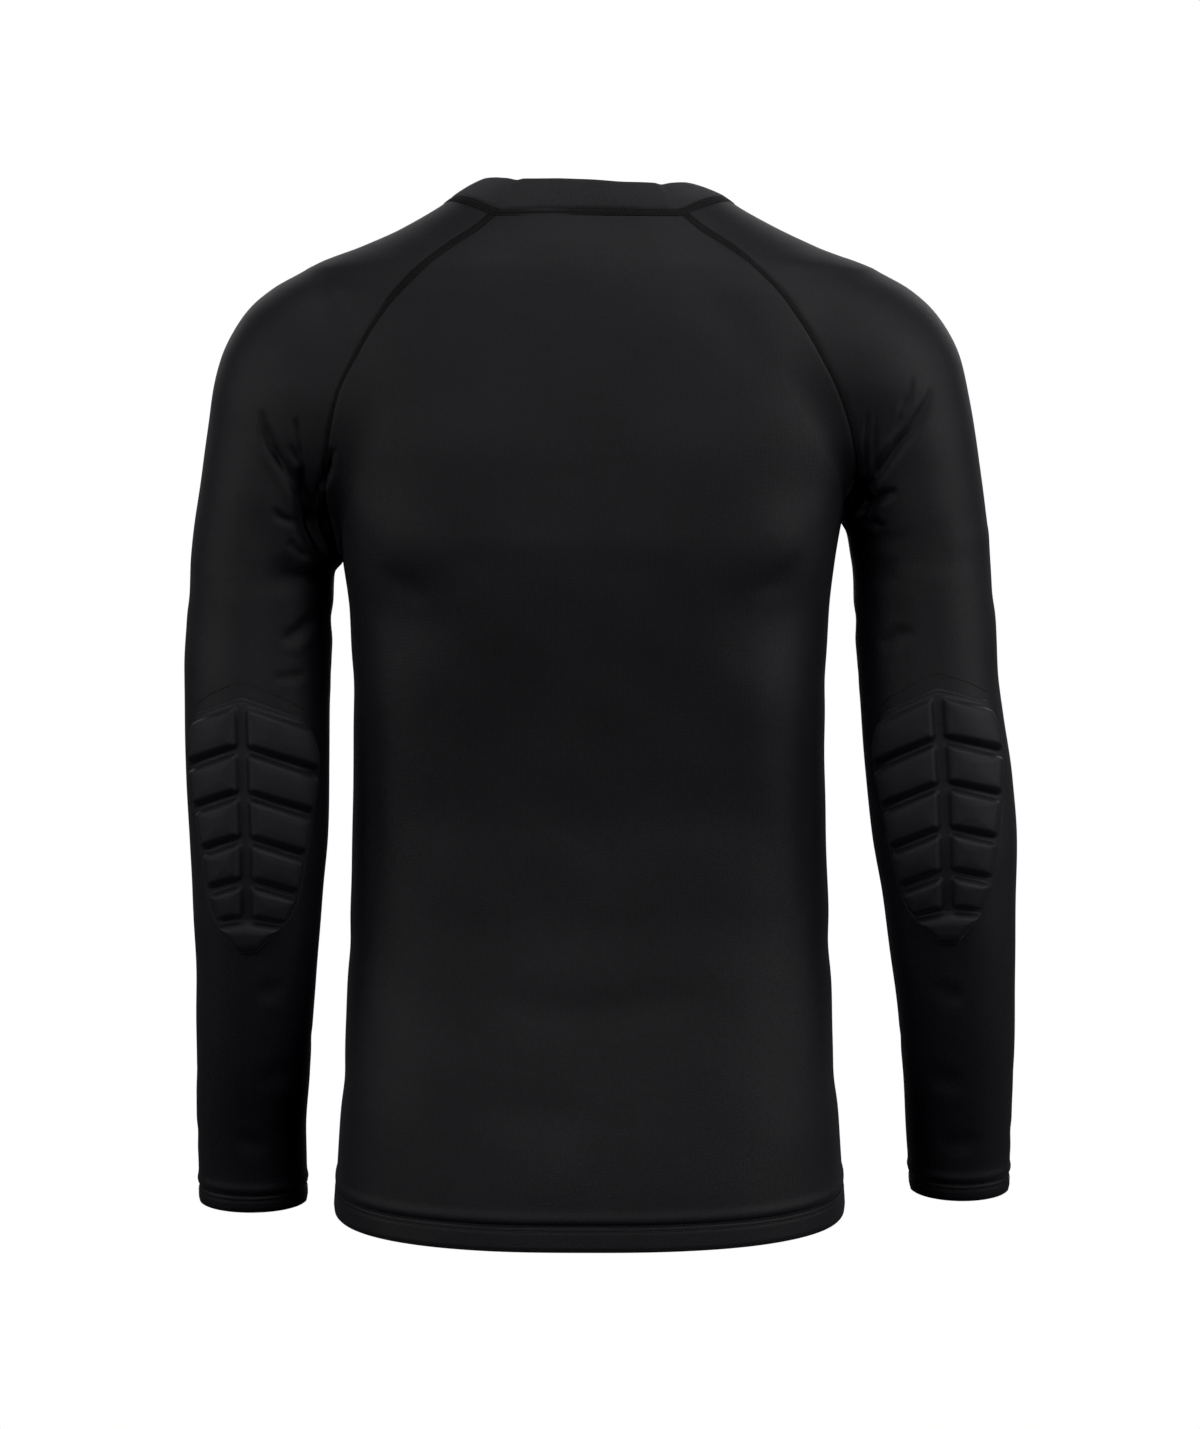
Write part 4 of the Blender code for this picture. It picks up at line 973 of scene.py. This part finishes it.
def sleeve_grid(side):
    """Outer points, outward directions and heights above the cuff, the inner side split down its seam."""
    table, form = ARM[side], ARM_FORM[side]
    foot = underarm(side)
    centre_out = float(table("inner", foot[2]) + table("outer", foot[2])) / 2
    shares = np.linspace(-1, 1, ARM_COLUMNS + 1)
    row_shares = np.arange(SEAM_STEPS) / SEAM_STEPS
    starts, ways = [], []
    for share, front, back in zip(row_shares, SEAM[side, FRONT], SEAM[side, BACK]):
        middle = (front + back) / 2
        crown_height = let_down(side, RAGLAN_UNDERARM[0], CROWN("height", share))[1]
        crown = np.array((side * float(CROWN("out", share)), middle[1], float(crown_height)))
        outer_way = unit(crown - middle)
        chord = unit(back - front)
        outer_way = unit(outer_way - chord * (outer_way @ chord))
        offset = (centre_out - side * foot[0]) * share**2
        angle = math.atan2(np.linalg.norm(back - front) / 2, -offset) * shares
        starts.append(np.tile(middle + outer_way * offset, (len(angle), 1)))
        ways.append(unit(np.outer(np.cos(angle), outer_way) + np.outer(np.sin(angle), chord)))
    starts, ways = np.array(starts), np.array(ways)
    high = int(OWN_FORM_FROM * SEAM_STEPS)
    arcs = np.concatenate((
        cast(shirt_form, starts[:high], ways[:high], ARM_REACH),
        cast_near(form, starts[high:], ways[high:], ARM_REACH),
    ))
    arcs[:, 0], arcs[:, -1] = SEAM[side, FRONT][:-1], SEAM[side, BACK][:-1]
    arc_out = seam_outward(form, arcs, row_shares)

    cuff = CUFF_HEIGHT[side]
    levels = (foot[2] + (cuff - foot[2]) * crowded(ARM_STEPS, CUFF_ROWS, CUFF_SHARE))[:, None]
    angle = math.pi - math.pi * (shares + 1)
    lean = smoothstep((foot[2] - levels) / (foot[2] - cuff))
    height = levels + CUFF_TILT * lean * table("half_depth", levels) * np.sin(angle)
    inner, outer = table("inner", height), table("outer", height)
    out = (inner + outer) / 2 + (outer - inner) / 2 * np.cos(angle)
    depth = table("middle", height) - table("half_depth", height) * np.sin(angle)
    rings = np.stack((side * out, depth, height), axis=2)
    above_cuff = np.concatenate((np.full(arcs.shape[:2], 1.0), np.tile(levels - cuff, (1, len(shares)))))
    return np.concatenate((arcs, rings)), np.concatenate((arc_out, outward(form, rings))), above_cuff


def dressed(name, grid, on_arm, edge_depth, flip):
    """One piece of cloth, creased, its lower edge turned under and its side edges turned in at the seams."""
    points, normals, above_edge = grid
    moved = creased(points, normals, on_arm)
    moved += normals * turned_bulge(above_edge, edge_depth)[:, :, None]
    moved = rounded_edges(moved, normals)
    turned = turned_edge(moved, normals, edge_depth)
    folded = len(turned) - len(moved)
    directions = np.concatenate((normals, np.tile(normals[-1:], (folded, 1, 1))))
    piece = sheet_object(name, seam_turned_in(turned, directions), JERSEY, flip)
    return Cloth(piece, moved, normals, above_edge)


body = {
    face: dressed(FACE_NAMES[face] + "_cloth", body_grid(face), False, HEM_DEPTH, flip=face == FRONT)
    for face in (FRONT, BACK)
}
sleeves = {
    side: dressed("sleeve_cloth_" + SIDE_NAMES[side], sleeve_grid(side), True, CUFF_DEPTH, flip=side == LEFT)
    for side in SIDES
}


def seam_line(face, side):
    """The dressed points and outward directions down one raglan seam, midway between its two pieces."""
    panel, sleeve = body[face], sleeves[side]
    column, arm_column = (0 if side == LEFT else -1), (0 if face == FRONT else -1)
    last = SEAM_STEPS - COVER_STOPS_BEFORE
    points = (panel.points[:last, column] + sleeve.points[:last, arm_column]) / 2
    return points, unit(panel.out[:last, column] + sleeve.out[:last, arm_column])


def cover_seam(name, points, normals, half_width):
    """A cover stitch over a seam: a narrow band of thread with two sunk rows, which it gives too."""
    across = unit(np.cross(normals, np.gradient(points, axis=0)))
    grid = []
    for share, rise in COVER_PROFILE:
        beside = points + across * share * half_width
        on_cloth = beside
        for _ in range(2):
            on_cloth = on_cloth - normals * shirt_form(on_cloth)[:, None] * 0.5
        lift = np.sum((on_cloth - points) * normals, axis=1, keepdims=True)
        lift = np.clip(lift, -COVER_MOST_BEND, COVER_MOST_BEND)
        grid.append(beside + normals * (lift + rise + COVER_LIFT))
    rows = [(grid[number] + normals * NEEDLE_LIFT, normals) for number in NEEDLE_PLACES]
    # the band's blacker colour is partly painted shade for its sunk rows
    return sheet_object(name, np.array(grid), COVER), rows


covers, needle_rows = {}, []
for face in (BACK, FRONT):
    for side in SIDES:
        name = f"raglan_seam_{FACE_NAMES[face]}_{SIDE_NAMES[side]}"
        covers[face, side], rows = cover_seam(name, *seam_line(face, side), COVER_HALF_WIDTH)
        needle_rows += rows
raglan_thread = stitches("raglan_stitches", needle_rows)


def edge_stitch_lines(cloth, edge_depth, from_row=0):
    """The two lines of stitches across a piece above its turned edge, with their outward directions."""
    points, normals, above = (grid[from_row:] for grid in (cloth.points, cloth.out, cloth.above_edge))
    lines = []
    for height in (edge_depth, edge_depth - NEEDLE_GAP):
        line, out = [], []
        for column in range(points.shape[1]):
            order = np.argsort(above[:, column])
            heights = above[order, column]
            line.append([np.interp(height, heights, points[order, column, axis]) for axis in range(3)])
            out.append([np.interp(height, heights, normals[order, column, axis]) for axis in range(3)])
        out = unit(np.array(out))
        lines.append((np.array(line) + out * THREAD_LIFT, out))
    return lines


hem_thread = stitches(
    "hem_stitches", [line for face in (FRONT, BACK) for line in edge_stitch_lines(body[face], HEM_DEPTH)],
)
cuff_thread = {}
for side in SIDES:
    lines = edge_stitch_lines(sleeves[side], CUFF_DEPTH, SEAM_STEPS)
    cuff_thread[side] = stitches("cuff_stitches_" + SIDE_NAMES[side], lines)


# Neck
def neck_loop():
    """The neck seam as a closed loop of cloth points, with their outward directions."""
    chain = ((body[BACK], 1), (sleeves[RIGHT], -1), (body[FRONT], -1), (sleeves[LEFT], 1))
    points = np.vstack([cloth.points[0][::way][:-1] for cloth, way in chain])
    normals = np.vstack([cloth.out[0][::way][:-1] for cloth, way in chain])
    points, normals = np.vstack((points, points[:1])), np.vstack((normals, normals[:1]))
    along = running_length(points)
    places = np.linspace(0, along[-1], NECK_STEPS, endpoint=False)
    points, normals = read_along(places, along, points), unit(read_along(places, along, normals))
    for _ in range(NECK_LINE_PASSES):
        points = ring_average(points)
    return points, normals


def make_neck():
    """A folded rib band on the neck seam, with a cover stitch along its foot."""
    seam, normals = neck_loop()
    turn = np.arctan2(seam[:, 1] - NECK_AXIS_DEPTH, seam[:, 0])
    from_side = np.degrees(np.arctan2(np.sin(turn), np.abs(np.cos(turn))))
    inward = -np.stack((np.cos(turn), np.sin(turn), np.zeros_like(turn)), axis=1)
    rise = RIB_BAND("rise", from_side) + RIB_TILT * np.cos(turn)
    top = seam + inward * RIB_BAND("lean", from_side)[:, None] + np.outer(rise, (0, 0, 1))
    band = top - seam
    out = unit(np.cross(np.roll(seam, -1, axis=0) - np.roll(seam, 1, axis=0), band))
    out *= np.sign(np.sum(out * -inward, axis=1, keepdims=True))
    for _ in range(RIB_FACE_PASSES):
        out = unit(ring_average(out))
    wave = sum(stand * np.sin(count * turn + start) for stand, count, start in RIB_WAVES)
    grid = np.array([
        seam + band * share + out * (stand + wave * share)[:, None] for share, stand in RIB_PROFILE
    ])
    made = sheet_object("neck_rib_cloth", np.concatenate((grid, grid[:, :1]), axis=1), RIB)

    loop, loop_out = np.vstack((seam, seam[:3])), np.vstack((normals, normals[:3]))
    side_way = unit(np.cross(loop_out, np.gradient(loop, axis=0)))
    side_way *= np.sign(np.sum(side_way * np.array((0, 0, -1.0)), axis=1, keepdims=True))
    foot = loop + side_way * NECK_COVER_BELOW
    for _ in range(3):
        foot = foot - loop_out * shirt_form(foot)[:, None]
    foot = creased(foot, loop_out, False) + loop_out * NECK_COVER_LIFT
    cover, rows = cover_seam("neck_seam_cover", foot, loop_out, NECK_COVER_HALF_WIDTH)
    return made, cover, stitches("neck_stitches", rows)


neck, neck_cover, neck_thread = make_neck()


# Elbow pads
def pad_place(side, down, across):
    """A place on the sleeve from how far it is down from the pad's apex and out from its spine."""
    table = ARM[side]
    turned = PAD_TURN_AT_APEX[side] + (PAD_TURN_AT_TIP[side] - PAD_TURN_AT_APEX[side]) * down / PAD_LENGTH
    across = across * np.where(across > 0, PAD_OUTER_SHARE[side], PAD_BODY_SHARE[side])
    bend = np.sqrt(across**2 + PAD_SPINE_BEND**2) - PAD_SPINE_BEND
    height = PAD_APEX_HEIGHT[side] - down - PAD_OUTLINE("chevron", down) * bend + PAD_LEAN[side] * across
    turn = np.radians(turned) + across / table("half_depth", height)
    inner, outer = table("inner", height), table("outer", height)
    out = (inner + outer) / 2 + (outer - inner) / 2 * np.sin(turn)
    depth = table("middle", height) + table("half_depth", height) * np.cos(turn)
    return np.stack((side * out, depth, height), axis=-1)


def block_rise(down, span, beside, corner, steepness, crown_reach, side_share, crown_share):
    """How far one foam block stands up: rounded in outline, with steep sides and a slightly crowned top."""
    start, end = span
    upper = (start - down) * PAD_SIDE_SLOPE / PAD_UPPER_SLOPE
    lower = (down - end) * PAD_SIDE_SLOPE / PAD_LOWER_SLOPE
    q = np.stack((beside + corner, np.maximum(upper, lower) + corner))
    inside = corner - (np.minimum(q.max(axis=0), 0) + np.hypot(*np.maximum(q, 0)))
    sides = 1 - (1 - np.clip(inside / PAD_SIDE_SLOPE, 0, 1)) ** steepness
    return PAD_BLOCK_HEIGHT * (side_share * sides + crown_share * smoothstep(inside / crown_reach))


def block_height(down, across, half_width):
    """How far all the blocks stand up: rows either side of the spine, and one block at the tip."""
    a = np.abs(across)
    fade = np.where(across > 0, PAD_SIDE_SLOPE / PAD_OUTER_SLOPE, 1.0)
    beside = np.maximum(PAD_SPINE - a, (a - (half_width - PAD_RIM)) * fade)
    height = np.zeros_like(down)
    for span in PAD_BLOCKS:
        height = np.maximum(height, block_rise(down, span, beside, PAD_CORNER, *PAD_BLOCK_RISE))
    tip_beside = a - (half_width - 0.4 * PAD_RIM)
    return np.maximum(height, block_rise(down, PAD_TIP, tip_beside, PAD_TIP_CORNER, *PAD_TIP_RISE))


def stitch_line(side, down, across, lift):
    """A line of stitches at places on a pad, lifted off the sleeve, with its outward directions."""
    place = pad_place(side, down, across)
    out = outward(ARM_FORM[side], place)
    return place + out * lift, out


def make_pad(name, side):
    """One moulded pad: foam blocks under a skin, on a thin flange that is sewn down round its edge."""
    down = np.linspace(0, PAD_LENGTH, PAD_ROWS + 1)[:, None]
    half_width = PAD_OUTLINE("half_width", down)
    across = half_width * np.linspace(-1, 1, PAD_COLUMNS + 1)
    down, half_width = np.broadcast_to(down, across.shape), np.broadcast_to(half_width, across.shape)
    on_sleeve = pad_place(side, down, across)
    normals = outward(ARM_FORM[side], on_sleeve)
    raised = block_height(down, across, half_width)
    to_edge = np.minimum(np.minimum(half_width - np.abs(across), down), PAD_LENGTH - down)
    roll = np.sqrt(np.clip(to_edge / PAD_ROLL, 0, 1))
    groove = PAD_GROOVE_DEPTH * np.exp(-(((to_edge - PAD_STITCH_INSET) / PAD_GROOVE_WIDTH) ** 2))
    outer = on_sleeve + normals * (PAD_STAND + PAD_FLANGE * roll - groove + raised)[:, :, None]
    inner = on_sleeve + normals * PAD_BASE
    rows, columns = outer.shape[:2]
    count = rows * columns
    quads = grid_quads(rows, columns)[:, (0, 3, 2, 1)]
    rim = np.concatenate((
        np.arange(columns), np.arange(1, rows) * columns + columns - 1,
        np.arange(columns - 2, -1, -1) + (rows - 1) * columns, np.arange(rows - 2, 0, -1) * columns,
    ))
    following = np.roll(rim, -1)
    wall = np.stack((rim, following, following + count, rim + count), axis=1)
    if side == RIGHT:
        quads, wall = quads[:, ::-1], wall[:, ::-1]
    places = cloth_places(outer)
    # the pad's paler colour is painted light on its blocks, not the jersey's own tone
    made = mesh_object(
        name, np.vstack((outer.reshape(-1, 3), inner.reshape(-1, 3))),
        np.vstack((quads, quads[:, ::-1] + count, wall)), BONDED_PAINTED_PALER, np.vstack((places, places)),
    )
    side_down = np.linspace(PAD_STITCH_INSET, PAD_LENGTH - PAD_STITCH_INSET, PAD_SIDE_POINTS)
    side_across = PAD_OUTLINE("half_width", side_down) - PAD_STITCH_INSET
    top_down = np.full(PAD_TOP_POINTS, PAD_STITCH_INSET)
    top_across = np.linspace(-1, 1, PAD_TOP_POINTS) * (PAD_OUTLINE("half_width", top_down) - PAD_STITCH_INSET)
    routes = ((side_down, side_across), (side_down, -side_across), (top_down, top_across))
    lift = PAD_STAND + PAD_FLANGE - PAD_GROOVE_DEPTH
    lines = [stitch_line(side, route_down, route_across, lift) for route_down, route_across in routes]
    return made, stitches(name + "_stitches", lines, PAD_STITCH_WIDTH)


def make_pad_arc(side):
    """The arc of stitches on the sleeve just above a pad, which holds the sleeve's doubled cloth."""
    share = np.linspace(-1, 1, ARC_POINTS)
    place, out = stitch_line(side, ARC_BEND * share**2 - ARC_ABOVE, share * ARC_HALF_WIDTH, 0.0)
    line = creased(place, out, True) + out * THREAD_LIFT
    return stitches("pad_arc_stitches_" + SIDE_NAMES[side], [(line, out)])


pads = {side: make_pad("elbow_pad_cloth_" + SIDE_NAMES[side], side) for side in SIDES}
pad_arcs = {side: make_pad_arc(side) for side in SIDES}


# What each piece is
for made, node in (
    (body[FRONT].piece, "front_panel"), (body[BACK].piece, "back_panel"),
    (sleeves[LEFT].piece, "sleeve_left"), (sleeves[RIGHT].piece, "sleeve_right"), (neck, "neck_rib"),
    (pads[LEFT][0], "elbow_pad_left"), (pads[RIGHT][0], "elbow_pad_right"),
):
    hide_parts(node)
    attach(made, "root")
for made in (
    neck_cover, neck_thread, raglan_thread, hem_thread, *covers.values(), *cuff_thread.values(),
    *pad_arcs.values(), pads[LEFT][1], pads[RIGHT][1],
):
    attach(made, "root")


# Studio
TARGET = Vector((-0.007, 0.0, -0.3325))
DISTANCE = 2.8
ELEVATION = math.radians(6.8)
FRAME_HEIGHT = 0.929
SENSOR = 36.0
FLOOR_HEIGHT, FLOOR_REACH = -1.05, 40.0
BLACK_POINT = 0.0020
WHITE = (1.0, 1.0, 1.0, 1.0)
ROOM_LIGHT = 0.012


def aimed(thing, way, distance):
    """Stands a camera or light at a distance from the shirt's middle, facing it."""
    thing.location = TARGET + way * distance
    thing.rotation_mode = "QUATERNION"
    thing.rotation_quaternion = (-way).to_track_quat("-Z", "Y")


camera_data = bpy.data.cameras.new("camera")
camera_data.sensor_fit = "VERTICAL"
camera_data.sensor_height = SENSOR
camera_data.sensor_width = SENSOR
camera_data.lens = SENSOR * DISTANCE / FRAME_HEIGHT
camera_data.clip_end = 100.0
camera = placed("camera", camera_data)
aimed(camera, Vector((0, math.cos(ELEVATION), math.sin(ELEVATION))), DISTANCE)
bpy.context.scene.camera = camera

# Colour as the studio prints it: plain, with the deepest folds of the cloth let down to black
printing = bpy.context.scene.view_settings
printing.view_transform = "Standard"
printing.use_curve_mapping = True
printing.curve_mapping.black_level = (BLACK_POINT, BLACK_POINT, BLACK_POINT)
printing.curve_mapping.update()

# Softboxes: degrees round from behind the camera towards the wearer's left, degrees up, and power in watts
SOFTBOX_DISTANCE, SOFTBOX_WIDTH, SOFTBOX_HEIGHT = 2.4, 0.9, 1.5
SOFTBOXES = (
    ("camera_fill", 0, 8, 5.2),
    ("overhead", 0, 75, 5.8),
    ("near_left", 30, 10, 1.8),
    ("near_right", -30, 10, 0.7),
    ("left_low", 60, 8, 4.7),
    ("left_high", 60, 42, 1.9),
    ("right_low", -60, 8, 5.3),
    ("right_high", -60, 42, 7.2),
    ("side_left", 85, 12, 3.6),
    ("side_right", -85, 14, 5.5),
    ("top_left", 45, 68, 2.1),
    ("top_right", -45, 68, 2.2),
    ("front_fill", 180, 12, 6.0),
    ("front_left", 150, 25, 4.5),
    ("front_right", -150, 25, 6.0),
)
for name, round_from_camera, up, power in SOFTBOXES:
    light = bpy.data.lights.new(name, "AREA")
    light.shape = "RECTANGLE"
    light.size, light.size_y = SOFTBOX_WIDTH, SOFTBOX_HEIGHT
    light.energy = power
    turn, rise = math.radians(round_from_camera), math.radians(up)
    way = Vector((math.sin(turn) * math.cos(rise), math.cos(turn) * math.cos(rise), math.sin(rise)))
    aimed(placed(name, light), way, SOFTBOX_DISTANCE)

# The room shows white behind the shirt, and gives it only a little light
world = bpy.data.worlds.new("studio")
bpy.context.scene.world = world
world.use_nodes = True
tree = world.node_tree
tree.nodes.clear()
path = add(tree, "ShaderNodeLightPath")
pale = add(tree, "ShaderNodeBackground", inputs={"Color": WHITE, "Strength": 1.0})
dim = add(tree, "ShaderNodeBackground", inputs={"Color": WHITE, "Strength": ROOM_LIGHT})
mixed = add(
    tree, "ShaderNodeMixShader",
    {"Fac": (path, "Is Camera Ray"), 1: (dim, "Background"), 2: (pale, "Background")},
)
add(tree, "ShaderNodeOutputWorld", {"Surface": (mixed, "Shader")})

# Floor: painted board, pale and plain, fading into the pale studio with distance
floor_mesh = bpy.data.meshes.new("floor")
corners = [(x * FLOOR_REACH, y * FLOOR_REACH, FLOOR_HEIGHT) for x, y in ((-1, -1), (1, -1), (1, 1), (-1, 1))]
floor_mesh.from_pydata(corners, [], [(0, 1, 2, 3)])
floor = placed("floor", floor_mesh)
board, tree, _ = new_material("painted_board")
tree.nodes.clear()
places = add(tree, "ShaderNodeTexCoord")
flat = add(tree, "ShaderNodeVectorMath", {0: (places, "Object")}, {1: (1, 1, 0)}, operation="MULTIPLY")
away = add(tree, "ShaderNodeVectorMath", {0: (flat, "Vector")}, operation="LENGTH")
far = add(
    tree, "ShaderNodeMapRange", {"Value": (away, "Value")},
    {"From Min": 0.05, "From Max": 0.70, "To Min": 0.75}, interpolation_type="SMOOTHSTEP",
)
matt = add(tree, "ShaderNodeBsdfDiffuse", inputs={"Color": linear("#f4f4f3")})
glow = add(tree, "ShaderNodeEmission", inputs={"Color": WHITE, "Strength": 1.0})
seen = add(tree, "ShaderNodeMixShader", {"Fac": (far, "Result"), 1: (matt, "BSDF"), 2: (glow, "Emission")})
unseen = add(tree, "ShaderNodeBsdfDiffuse", inputs={"Color": linear("#3a3a3a")})
path = add(tree, "ShaderNodeLightPath")
mixed = add(
    tree, "ShaderNodeMixShader",
    {"Fac": (path, "Is Camera Ray"), 1: (unseen, "BSDF"), 2: (seen, "Shader")},
)
add(tree, "ShaderNodeOutputMaterial", {"Surface": (mixed, "Shader")})
floor_mesh.materials.append(board)
